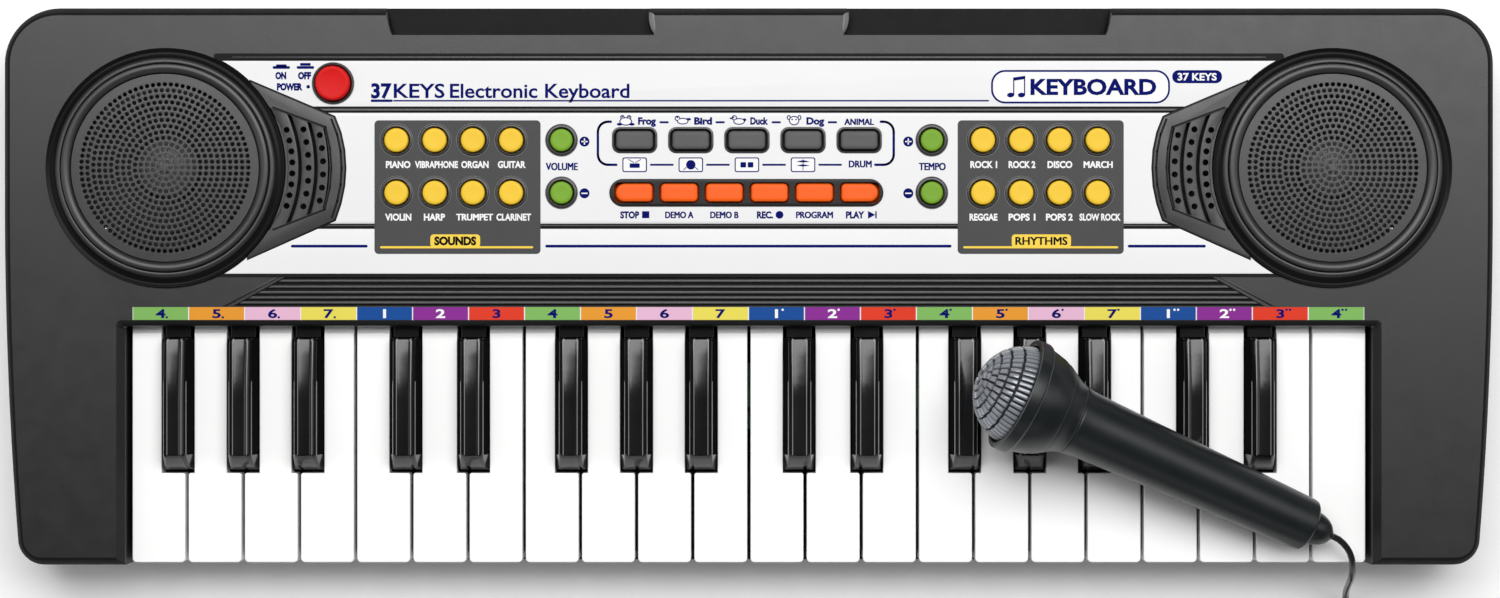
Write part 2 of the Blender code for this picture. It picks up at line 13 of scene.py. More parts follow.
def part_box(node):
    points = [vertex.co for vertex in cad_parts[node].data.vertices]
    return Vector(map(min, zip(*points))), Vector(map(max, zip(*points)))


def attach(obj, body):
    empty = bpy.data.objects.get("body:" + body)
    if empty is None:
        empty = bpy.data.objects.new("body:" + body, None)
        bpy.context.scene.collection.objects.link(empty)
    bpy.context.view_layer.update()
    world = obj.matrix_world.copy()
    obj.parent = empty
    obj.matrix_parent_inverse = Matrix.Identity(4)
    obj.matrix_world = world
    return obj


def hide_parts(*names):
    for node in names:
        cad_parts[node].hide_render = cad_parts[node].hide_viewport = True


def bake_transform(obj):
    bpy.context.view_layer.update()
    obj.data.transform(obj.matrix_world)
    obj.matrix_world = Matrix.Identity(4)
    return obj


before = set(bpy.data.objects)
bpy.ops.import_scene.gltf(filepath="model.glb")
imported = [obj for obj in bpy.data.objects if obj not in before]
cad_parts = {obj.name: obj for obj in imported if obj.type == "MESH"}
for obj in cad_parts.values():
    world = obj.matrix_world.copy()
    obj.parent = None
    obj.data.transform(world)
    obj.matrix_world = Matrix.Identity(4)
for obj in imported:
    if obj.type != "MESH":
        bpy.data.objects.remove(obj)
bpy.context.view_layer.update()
MM = 0.001


def mm_box(node):
    """A CAD node's lowest and highest corner in millimetres."""
    low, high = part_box(node)
    return low / MM, high / MM


CASE_LOW, CASE_HIGH = mm_box("top_case")
BASE_LOW, BASE_HIGH = mm_box("bottom_case")
PANEL_BOX = mm_box("control_panel")
DECK = CASE_HIGH.z
PARTING = CASE_LOW.z
HALF_LENGTH = CASE_HIGH.x
HALF_DEPTH = CASE_HIGH.y
PANEL_TOP = PANEL_BOX[1].z
PANEL_LOW_Z = DECK - 0.9
SPEAKER = Vector(((mm_box("right_speaker_grille")[0].x + mm_box("right_speaker_grille")[1].x) / 2,
                  (mm_box("right_speaker_grille")[0].y + mm_box("right_speaker_grille")[1].y) / 2, 0))
SPEAKER_RING = mm_box("right_speaker_grille")[1].x - SPEAKER.x
WHITES = sorted(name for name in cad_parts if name.startswith("white_key"))
BLACKS = sorted(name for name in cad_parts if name.startswith("black_key"))
WHITE_LEFT = mm_box(WHITES[0])[0].x
WHITE_RIGHT = mm_box(WHITES[-1])[1].x
WHITE_TOP = mm_box(WHITES[0])[1].z
WELL_REAR = -14.3
WELL_HALF = 223.8
WELL_OPEN = 226.5
WELL_LIP = 2.2


# ---------------------------------------------------------------- materials

def surface(name, colour, roughness, vary=0.10, grain=900.0, bump=0.10, coat=0.0, metallic=0.0, streak=None,
            specks=0.0, specular=0.5, deep=0.00004):
    """A moulded, painted or printed surface: colour that drifts, roughness that varies and a fine bumpy grain."""
    material = bpy.data.materials.new(name)
    material.use_nodes = True
    tree = material.node_tree
    nodes, links = tree.nodes, tree.links
    shader = nodes["Principled BSDF"]
    shader.inputs["Metallic"].default_value = metallic
    shader.inputs["Coat Weight"].default_value = coat
    shader.inputs["Coat Roughness"].default_value = 0.12
    shader.inputs["Specular IOR Level"].default_value = specular
    place = nodes.new("ShaderNodeTexCoord")
    mapping = nodes.new("ShaderNodeMapping")
    links.new(place.outputs["Object"], mapping.inputs["Vector"])
    mapping.inputs["Scale"].default_value = streak or (1.0, 1.0, 1.0)

    def noise_node(scale, detail):
        node = nodes.new("ShaderNodeTexNoise")
        node.inputs["Scale"].default_value = scale
        node.inputs["Detail"].default_value = detail
        links.new(mapping.outputs["Vector"], node.inputs["Vector"])
        return node

    drift = noise_node(22.0, 4.0)
    spread = nodes.new("ShaderNodeMapRange")
    spread.inputs["From Min"].default_value = 0.3
    spread.inputs["From Max"].default_value = 0.7
    links.new(drift.outputs["Fac"], spread.inputs["Value"])
    mix = nodes.new("ShaderNodeMix")
    mix.data_type = "RGBA"
    mix.inputs["A"].default_value = (*[c * (1 - vary) for c in colour], 1.0)
    mix.inputs["B"].default_value = (*[min(1.0, c * (1 + vary)) for c in colour], 1.0)
    links.new(spread.outputs["Result"], mix.inputs["Factor"])
    colour_out = mix.outputs["Result"]
    if specks:
        spots = nodes.new("ShaderNodeTexVoronoi")
        spots.inputs["Scale"].default_value = 160.0
        links.new(place.outputs["Object"], spots.inputs["Vector"])
        pick = nodes.new("ShaderNodeMapRange")
        pick.inputs["From Min"].default_value = 0.03
        pick.inputs["From Max"].default_value = 0.06
        pick.inputs["To Min"].default_value = specks
        pick.inputs["To Max"].default_value = 0.0
        links.new(spots.outputs["Distance"], pick.inputs["Value"])
        dust = nodes.new("ShaderNodeMix")
        dust.data_type = "RGBA"
        dust.inputs["B"].default_value = (*[min(1.0, c * 1.8 + 0.03) for c in colour], 1.0)
        links.new(colour_out, dust.inputs["A"])
        links.new(pick.outputs["Result"], dust.inputs["Factor"])
        colour_out = dust.outputs["Result"]
    links.new(colour_out, shader.inputs["Base Color"])
    worn = noise_node(140.0, 3.0)
    rough = nodes.new("ShaderNodeMapRange")
    rough.inputs["To Min"].default_value = max(0.02, roughness * 0.82)
    rough.inputs["To Max"].default_value = min(1.0, roughness * 1.18)
    links.new(worn.outputs["Fac"], rough.inputs["Value"])
    links.new(rough.outputs["Result"], shader.inputs["Roughness"])
    texture = noise_node(grain, 2.0)
    bumps = nodes.new("ShaderNodeBump")
    bumps.inputs["Strength"].default_value = bump
    bumps.inputs["Distance"].default_value = deep
    links.new(texture.outputs["Fac"], bumps.inputs["Height"])
    links.new(bumps.outputs["Normal"], shader.inputs["Normal"])
    return material


CASE = surface("case_plastic", (0.008, 0.008, 0.0083), 0.335, 0.10, 2600, 0.55, specks=0.25, specular=0.49)
CASE_EDGE = surface("case_edge", (0.012, 0.012, 0.0125), 0.5, 0.12, 2600, 0.4, specular=0.02)
CASE_DARK = surface("case_dark", (0.012, 0.012, 0.0125), 0.5, 0.12, 2600, 0.4, specular=0.06)
GRILLE = surface("grille_plastic", (0.022, 0.022, 0.0225), 0.38, 0.08, 2600, 0.5, specks=0.2)
# painted shade for the speaker ring's groove: darker than the grille plastic round it and almost without reflection
GROOVE_PAINTED_SHADE = surface("speaker_groove_painted_shade", (0.006, 0.006, 0.0062), 0.25, 0.15, 1800, 0.2, specular=0.06)
FIELD = surface("field_print", (0.045, 0.045, 0.046), 0.45, 0.06, 1800, 0.3, specular=0.25)
TRACK = surface("track_plastic", (0.012, 0.012, 0.0125), 0.4, 0.1, 1800, 0.3, specular=0.2)
PANEL = surface("panel_film", (0.715, 0.715, 0.72), 0.36, 0.012, 1600, 0.10)
IVORY = surface("white_key_plastic", (0.96, 0.96, 0.955), 0.22, 0.012, 700, 0.06)
# painted highlight: light grey for the thin beads on the microphone's rings, standing in for the light they catch
MIC_RING_PAINTED_HIGHLIGHT = surface("mic_ring_painted_highlight", (0.075, 0.08, 0.086), 0.35, 0.3, 700, 0.2)
# painted highlight: light grey for the sloped ends of the rear ledges
LEDGE_PAINTED_HIGHLIGHT = surface("case_ledge_painted_highlight", (0.15, 0.15, 0.152), 0.4, 0.25, 500, 0.15, specular=0.5)
DUST_CAP = surface("dust_cap", (0.16, 0.16, 0.165), 0.30, 0.3, 700, 0.2)
# painted shade: grey for the white keys' lowered rear, which lies in the shadow under the deck's edge
IVORY_PAINTED_SHADE = surface("white_key_rear_painted_shade", (0.72, 0.72, 0.72), 0.4, 0.05, 700, 0.1)
EBONY = surface("black_key_plastic", (0.006, 0.006, 0.0065), 0.15, 0.25, 260, 0.14, deep=0.0001)
EBONY_SIDE = surface("black_key_side", (0.007, 0.007, 0.0075), 0.7, 0.25, 500, 0.2, specular=0.0)
# painted highlight: light grey for the narrow double edge along each black key's top
EBONY_PAINTED_HIGHLIGHT = surface("black_key_painted_highlight", (0.16, 0.16, 0.165), 0.25, 0.2, 500, 0.2)
YELLOW = surface("yellow_rubber", (0.80, 0.515, 0.032), 0.46, 0.03, 1500, 0.25, specular=0.22)
GREEN = surface("green_rubber", (0.170, 0.350, 0.022), 0.46, 0.05, 1500, 0.25, specular=0.22)
GREY = surface("grey_rubber", (0.088, 0.088, 0.090), 0.5, 0.06, 1500, 0.35, specular=0.22)
ORANGE = surface("orange_rubber", (0.86, 0.110, 0.004), 0.45, 0.03, 1500, 0.25, specular=0.22)
RED = surface("red_plastic", (0.60, 0.008, 0.008), 0.42, 0.04, 1500, 0.15, specular=0.10)
MIC = surface("mic_plastic", (0.007, 0.0095, 0.0105), 0.36, 0.15, 1900, 0.35, specks=0.25, specular=0.42)
SILVER = surface("mic_silver", (0.27, 0.285, 0.315), 0.32, 0.2, 900, 0.3, metallic=0.35)
# dark foam inside the microphone's head, and also a painted shade: the near-black sheet under the vents
FOAM_AND_PAINTED_SHADE = surface("dark_foam_and_painted_shade", (0.01, 0.01, 0.012), 0.85, 0.3, 500, 1.0, deep=0.0004)
RUBBER = surface("cord_rubber", (0.012, 0.012, 0.013), 0.22, 0.15, 1200, 0.2)
NICKEL = surface("nickel", (0.62, 0.61, 0.58), 0.22, 0.08, 600, 0.1, metallic=1.0)
CONE = surface("speaker_cone", (0.02, 0.02, 0.021), 0.6, 0.2, 900, 0.5, deep=0.0002)
BOARD = surface("circuit_board", (0.03, 0.17, 0.06), 0.4, 0.2, 500, 0.3)
NAVY = surface("navy_ink", (0.001, 0.0045, 0.12), 0.6, 0.06, 1600, 0.08, specular=0.04)
WHITE_INK = surface("white_ink", (0.78, 0.78, 0.78), 0.42, 0.02, 1600, 0.08)
YELLOW_INK = surface("yellow_ink", (0.80, 0.55, 0.02), 0.42, 0.03, 1600, 0.08)
DARK_INK = surface("dark_ink", (0.003, 0.003, 0.004), 0.6, 0.1, 1600, 0.08, specular=0.06)
# painted highlight: a light grey line round the outside of each button collar
COLLAR_PAINTED_HIGHLIGHT = surface("button_rim_painted_highlight", (0.14, 0.14, 0.142), 0.35, 0.1, 1600, 0.2)
RIM = surface("button_rim", (0.030, 0.030, 0.031), 0.32, 0.12, 1600, 0.3)
NOTE_COLOURS = {
    "1": (0.003, 0.060, 0.27), "2": (0.22, 0.020, 0.25), "3": (0.64, 0.038, 0.014), "4": (0.19, 0.41, 0.10),
    "5": (0.70, 0.28, 0.025), "6": (0.70, 0.42, 0.57), "7": (0.72, 0.62, 0.09)}
NOTE_INKS = {key: surface(f"label_ink_{key}", colour, 0.5, 0.03, 1400, 0.08, specular=0.12)
             for key, colour in NOTE_COLOURS.items()}


# ---------------------------------------------------------------- mesh helpers

def arc(x, y, radius, start, end, steps):
    """Points along an arc, with angles in degrees."""
    angles = [radians(start + (end - start) * step / steps) for step in range(steps + 1)]
    return [(x + radius * cos(a), y + radius * sin(a)) for a in angles]


def rounded(x, y, width, height, radius, steps=5):
    """A rectangle with round corners, anticlockwise."""
    points = []
    for turn, (sx, sy) in enumerate(((1, 1), (-1, 1), (-1, -1), (1, -1))):
        corner = (x + sx * (width / 2 - radius), y + sy * (height / 2 - radius))
        points += arc(*corner, radius, 90 * turn, 90 * turn + 90, steps)
    return points


def prism(bm, outline, z, bevel=0.0, segments=2, material=0):
    """An upright prism, with the edge round its top rounded."""
    face = bm.faces.new([bm.verts.new((*point, z[0])) for point in outline])
    face.material_index = material
    grown = bmesh.ops.extrude_face_region(bm, geom=[face])["geom"]
    verts = [item for item in grown if isinstance(item, bmesh.types.BMVert)]
    edges = [item for item in grown if isinstance(item, bmesh.types.BMEdge)]
    bmesh.ops.translate(bm, verts=verts, vec=(0, 0, z[1] - z[0]))
    for side in {f for v in verts for f in v.link_faces}:
        side.material_index = material
    if bevel:
        bmesh.ops.bevel(bm, geom=edges, offset=bevel, segments=segments, profile=0.5, affect="EDGES",
                        material=-1)
    return verts


def box(bm, low, high, bevel=0.0, segments=2, material=0):
    """A box, with all its edges rounded."""
    middle = (Vector(low) + Vector(high)) / 2
    size = Vector(high) - Vector(low)
    made = bmesh.ops.create_cube(bm, size=1, matrix=Matrix.Translation(middle) @ Matrix.Diagonal((*size, 1)))
    faces = {f for v in made["verts"] for f in v.link_faces}
    for face in faces:
        face.material_index = material
    if bevel:
        edges = list({e for v in made["verts"] for e in v.link_edges})
        bmesh.ops.bevel(bm, geom=edges, offset=bevel, segments=segments, profile=0.5, affect="EDGES",
                        material=-1)


def lathe(bm, profile, steps, place=None, material=0):
    """A turned shape about its own Z, from radius and height pairs that run up or down its outer side."""
    place = place or Matrix.Identity(4)
    rings = []
    for radius, height in profile:
        if radius < 1e-6:
            rings.append([bm.verts.new(place @ Vector((0, 0, height)))])
        else:
            rings.append([bm.verts.new(place @ Vector((radius * cos(2 * pi * i / steps),
                                                       radius * sin(2 * pi * i / steps), height)))
                          for i in range(steps)])
    for low, high in zip(rings, rings[1:]):
        for i in range(steps):
            j = (i + 1) % steps
            corners = [low[i % len(low)], low[j % len(low)], high[j % len(high)], high[i % len(high)]]
            corners = list(dict.fromkeys(corners))
            if len(corners) > 2:
                bm.faces.new(corners).material_index = material


def loft(bm, rings, material=0):
    """Skins closed rings that have the same number of points, and caps both ends."""
    loops = [[bm.verts.new(point) for point in ring] for ring in rings]
    for low, high in zip(loops, loops[1:]):
        for i in range(len(low)):
            j = (i + 1) % len(low)
            bm.faces.new((low[i], low[j], high[j], high[i])).material_index = material
    bm.faces.new(list(reversed(loops[0]))).material_index = material
    bm.faces.new(loops[-1]).material_index = material


def sweep(bm, points, radius, sides=8, material=0, taper=None):
    """A round tube along points."""
    points = [Vector(p) for p in points]
    normal = None
    rings = []
    for index, point in enumerate(points):
        ahead = points[min(index + 1, len(points) - 1)] - points[max(index - 1, 0)]
        ahead.normalize()
        if normal is None:
            normal = ahead.orthogonal().normalized()
        normal = (normal - ahead * normal.dot(ahead)).normalized()
        side = ahead.cross(normal)
        size = radius * (taper(index / (len(points) - 1)) if taper else 1.0)
        rings.append([point + size * (normal * cos(2 * pi * k / sides) + side * sin(2 * pi * k / sides))
                      for k in range(sides)])
    loft(bm, rings, material)


def line(bm, points, width, z, material=0):
    """A flat printed line with round ends, made of straight stretches."""
    for (ax, ay), (bx, by) in zip(points, points[1:]):
        length = hypot(bx - ax, by - ay)
        turn = Matrix.Translation(((ax + bx) / 2, (ay + by) / 2, 0)) @ Matrix.Rotation(
            -Vector((bx - ax, by - ay)).angle_signed(Vector((1, 0))) * -1, 4, "Z")
        outline = [turn @ Vector((x, y, 0)) for x, y in rounded(0, 0, length + width, width, width / 2.01, 3)]
        prism(bm, [(p.x, p.y) for p in outline], z, material=material)


def solid(bm):
    """A temporary object of a bmesh, for booleans."""
    bmesh.ops.recalc_face_normals(bm, faces=bm.faces)
    mesh = bpy.data.meshes.new("temporary")
    bm.to_mesh(mesh)
    bm.free()
    obj = bpy.data.objects.new("temporary", mesh)
    bpy.context.scene.collection.objects.link(obj)
    return obj


def carve(bm, *steps):
    """A bmesh after booleans. Each step is an operation and the bmesh it uses."""
    target = solid(bm)
    tools = []
    for operation, tool in steps:
        tools.append(solid(tool))
        modifier = target.modifiers.new(operation, "BOOLEAN")
        modifier.operation = operation
        modifier.solver = "EXACT"
        modifier.object = tools[-1]
    shape = target.evaluated_get(bpy.context.evaluated_depsgraph_get())
    result = bmesh.new()
    result.from_mesh(shape.to_mesh())
    shape.to_mesh_clear()
    for obj in [target, *tools]:
        mesh = obj.data
        bpy.data.objects.remove(obj)
        bpy.data.meshes.remove(mesh)
    return result


def piece(name, bm, materials, body="root", replaces=(), smooth=32, weighted=False):
    """Finishes a piece: puts it in metres, shades it, and lets it ride on its body."""
    bmesh.ops.scale(bm, vec=(MM, MM, MM), verts=bm.verts)
    bmesh.ops.recalc_face_normals(bm, faces=bm.faces)
    mesh = bpy.data.meshes.new(name)
    bm.to_mesh(mesh)
    bm.free()
    for material in materials if isinstance(materials, (list, tuple)) else [materials]:
        mesh.materials.append(material)
    obj = bpy.data.objects.new(name, mesh)
    bpy.context.scene.collection.objects.link(obj)
    mesh.shade_smooth()
    mesh.set_sharp_from_angle(angle=radians(smooth))
    if weighted:
        modifier = obj.modifiers.new("Even shading", "WEIGHTED_NORMAL")
        modifier.keep_sharp = True
    if body:
        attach(obj, body)
    if replaces:
        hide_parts(*replaces)
    return obj


def both_sides():
    """-1 for the left and 1 for the right."""
    return ((-1, "left"), (1, "right"))


# ---------------------------------------------------------------- camera

EYE_HEIGHT = 1264.0
VIEW_WIDTH = 537.0
CAMERA_X = 0.4
CAMERA_Y = -4.5


def make_camera():
    """A camera straight above, far enough away for the photograph's weak perspective."""
    data = bpy.data.cameras.new("camera")
    data.sensor_width = 36.0
    data.lens = 36.0 * (EYE_HEIGHT - DECK) / VIEW_WIDTH
    data.clip_end = 20.0
    camera = bpy.data.objects.new("camera", data)
    camera.location = (CAMERA_X * MM, CAMERA_Y * MM, EYE_HEIGHT * MM)
    bpy.context.scene.collection.objects.link(camera)
    bpy.context.scene.camera = camera


make_camera()


# ---------------------------------------------------------------- cord, in metres

CORD_RADIUS = 0.0012
CORD_LENGTH = 1.0
COIL_CENTRE = Vector((0.206, -0.1461))
COIL_RADIUS = 0.0155
CORD_ROUTE = (
    (0.2088, -0.0894, 0.0454),
    (0.2111, -0.0906, 0.0451),
    (0.2135, -0.0928, 0.0442),
    (0.2154, -0.0956, 0.0428),
    (0.2166, -0.0989, 0.0406),
    (0.2173, -0.1022, 0.0372),
    (0.2178, -0.1050, 0.0324),
    (0.2182, -0.1072, 0.0265),
    (0.2187, -0.1092, 0.0200),
    (0.2193, -0.1112, 0.0135),
    (0.2200, -0.1136, 0.0076),
    (0.2207, -0.1168, 0.0035),
    (0.2212, -0.1210, 0.0019),
    (0.2214, -0.1255, 0.0016),
    (0.2215, -0.1318, 0.0016),
)
PLUG_TAIL = Vector((0.1896, -0.1615, 0.0043))
COIL_TURNS = 8.25


def coil_points():
    """The coil's turns: they wind down from the route's end, three wide and three high, and end at its front."""
    points = []
    steps = int(COIL_TURNS * 20)
    for step in range(1, steps + 1):
        turn = step / 20
        angle = -2 * pi * turn
        layer = min(int(turn / 2.75), 2)
        across = (turn - 2.75 * layer) / 2.75
        lane = across if layer % 2 == 0 else 1 - across
        radius = COIL_RADIUS + 0.0031 * (lane * 2 - 1) * min(1.0, turn * 2)
        ease = min(1.0, max(0.0, (turn - 2.75 * layer) * 3)) if layer else 1.0
        height = 0.0016 + 0.0029 * (layer - 1 + ease if layer else 0)
        points.append(Vector((COIL_CENTRE.x + radius * cos(angle), COIL_CENTRE.y + radius * sin(angle), height)))
    return points


def smooth_route(points, spacing):
    """Evenly spaced points on the smooth curve through a route's points."""
    knots = [Vector(p) for p in points]
    knots = [2 * knots[0] - knots[1]] + knots + [2 * knots[-1] - knots[-2]]
    fine = []
    for a, b, c, d in zip(knots, knots[1:], knots[2:], knots[3:]):
        for step in range(10):
            t = step / 10
            fine.append(0.5 * (2 * b + (c - a) * t + (2 * a - 5 * b + 4 * c - d) * t * t
                               + (3 * b - a - 3 * c + d) * t * t * t))
    fine.append(knots[-2])
    kept = [fine[0]]
    for point in fine[1:-1]:
        if (point - kept[-1]).length >= spacing and (point - fine[-1]).length >= spacing / 2:
            kept.append(point)
    return kept + [fine[-1]]


def make_cord():
    """The microphone's lead: it falls over the front edge to the table, lies in a coil and ends in a jack plug."""
    route = [Vector(p) for p in CORD_ROUTE]
    turns = coil_points()
    last = turns[-1]
    lead_out = [Vector((last.x - 0.006, PLUG_TAIL.y - 0.0001, 0.0060)), PLUG_TAIL + Vector((0.0005, 0, 0))]
    path = smooth_route(route + turns + lead_out, 0.0022)
    bm = bmesh.new()
    sweep(bm, [p / MM for p in path], CORD_RADIUS / MM, 10)
    cord = piece("mic_lead", bm, RUBBER, body=None, replaces=("mic_cord", "mic_coil"))
    length = sum((b - a).length for a, b in zip(path, path[1:]))
    return cord, path, length


def make_plug():
    """A jack plug: ribbed strain relief, moulded grip, collar and nickel pin."""
    place = Matrix.Translation(PLUG_TAIL / MM) @ Matrix.Rotation(-pi / 2, 4, "Y")
    bm = bmesh.new()
    relief = [(0.0, 0.0), (1.75, 0.0)]
    for ring in range(5):
        start = 0.6 + 1.4 * ring
        grow = 1.75 + 0.28 * ring
        relief += [(grow + 0.3, start), (grow + 0.3, start + 0.8), (grow, start + 0.9)]
    grip = [(3.5, 8.2), (3.9, 8.8), (4.0, 9.6)]
    for rib in range(6):
        start = 11.0 + 1.6 * rib
        grip += [(4.0, start), (3.75, start + 0.25), (3.75, start + 0.55), (4.0, start + 0.8)]
    lathe(bm, relief + grip + [(4.0, 23.2), (3.7, 23.8), (0.0, 23.8)], 32, place)
    pin = [(0.0, 23.6), (3.0, 23.6), (3.0, 24.6), (1.75, 24.8), (1.75, 29.0), (1.60, 29.1), (1.60, 29.6),
           (1.75, 29.7), (1.75, 33.2), (1.2, 34.0), (1.35, 34.6), (1.75, 35.5), (1.5, 36.8), (0.7, 38.0),
           (0.0, 38.0)]
    lathe(bm, pin, 28, place, material=1)
    return piece("lead_plug", bm, [MIC, NICKEL], replaces=("mic_plug",))


def make_tie():
    """A flat paper-covered twist tie round the coil's rear side."""
    bm = bmesh.new()
    ring = [((COIL_CENTRE.x) / MM, COIL_CENTRE.y / MM + 15.5 + 5.6 * cos(a), 5.3 + 4.9 * sin(a))
            for a in [2 * pi * i / 28 for i in range(29)]]
    rows = [[(x + side, y, z) for x, y, z in ring] for side in (-1.5, 1.5)]
    for a, b, c, d in zip(rows[0], rows[0][1:], rows[1][1:], rows[1]):
        bm.faces.new([bm.verts.new(p) for p in (a, b, c, d)])
    bmesh.ops.remove_doubles(bm, verts=bm.verts, dist=0.001)
    obj = piece("lead_tie", bm, WHITE_INK)
    thick = obj.modifiers.new("Thickness", "SOLIDIFY")
    thick.thickness = 0.0003
    thick.offset = 0.0
    return obj


lead, lead_path, lead_length = make_cord()
plug = make_plug()
tie = make_tie()
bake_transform(lead)


# ---------------------------------------------------------------- case

SIDE_TAPER = 5.5
TAPER_START = 30.0
REAR_CORNER = 20.0
FRONT_CORNER = 9.5
EDGE_ROUND = 3.5
WALL = 2.6
LEDGE_NEAR, LEDGE_FAR, LEDGE_FRONT, LEDGE_Z = 37.0, 130.6, 90.0, 38.0
WINDOW_FRAME = ((30.5, 31.0), (60.4, 18.2), (62.6, 12.5), (63.9, 6.3), (64.3, 0.0), (63.9, -6.3), (62.6, -12.6), (60.6, -18.6),
                (29.6, -32.5))
POWER_PLACE = (-148.7, 72.6)
POWER_RADIUS = 6.2


def half_width(y):
    """Half the length of the case at a depth."""
    inward = max(0.0, TAPER_START - y) / (TAPER_START + HALF_DEPTH)
    return HALF_LENGTH - SIDE_TAPER * inward * inward


def case_outline(inset=0.0):
    """The case from above, anticlockwise from the front right corner."""
    front_y = -HALF_DEPTH + FRONT_CORNER
    right = arc(half_width(front_y) - FRONT_CORNER, front_y, FRONT_CORNER - inset, -90, 0, 8)
    right += [(half_width(y) - inset, y) for y in range(-82, 76, 6)]
    right += arc(HALF_LENGTH - REAR_CORNER, HALF_DEPTH - REAR_CORNER, REAR_CORNER - inset, 0, 90, 14)
    return right + [(-x, y) for x, y in reversed(right)]


def case_rings(levels):
    """Rings of the case's outline at pairs of height and inset."""
    return [[(x, y, z) for x, y in case_outline(inset)] for z, inset in levels]


def ledge_outline(side, grow=0.0):
    """The rear ledge from above, with S-shaped ends."""
    bow = ((34.9, 100.6), (35.6, 99.4), (36.2, 98.0), (36.3, 96.0), (36.0, 94.0), (35.4, 92.3), (34.5, 91.0),
           (33.9, LEDGE_FRONT))
    slant = ((LEDGE_FAR - 3.6, LEDGE_FRONT), (LEDGE_FAR - 2.9, 91.2), (LEDGE_FAR - 2.2, 94.0), (LEDGE_FAR - 1.6, 96.8),
             (LEDGE_FAR - 0.8, 99.0), (LEDGE_FAR, 100.6))
    near = [(x - grow * min(1.0, (y - LEDGE_FRONT) / 3.0 + (0.0 if grow < WALL else 1.0)), y) for x, y in bow]
    far = [(x + 0.3 * grow, y) for x, y in slant]
    points = [(near[0][0], 104.0)] + near + far + [(far[-1][0], 104.0)]
    return [(side * x, y) for x, y in points]


def vent_frame(side, grow=0.0):
    """The outline of the frame round a vent."""
    middle = (46.0, 0.0)
    points = [(middle[0] + (x - middle[0]) * (1 + grow / 18), y * (1 + grow / 25)) for x, y in WINDOW_FRAME]
    return [(side * (SPEAKER.x - x), SPEAKER.y + y) for x, y in points]


def vent_window(side):
    """The opening inside a vent's frame, under the slats."""
    points = [(35.5, 22.3), (57.0, 14.2), (58.4, 7.0), (58.9, 0.0), (58.4, -7.0), (56.7, -14.5), (36.5, -22.5),
              (40.8, -16.0), (43.4, -8.0), (43.9, 0.0), (43.4, 8.0), (40.8, 15.6)]
    return [(side * (SPEAKER.x - x), SPEAKER.y + y) for x, y in points]


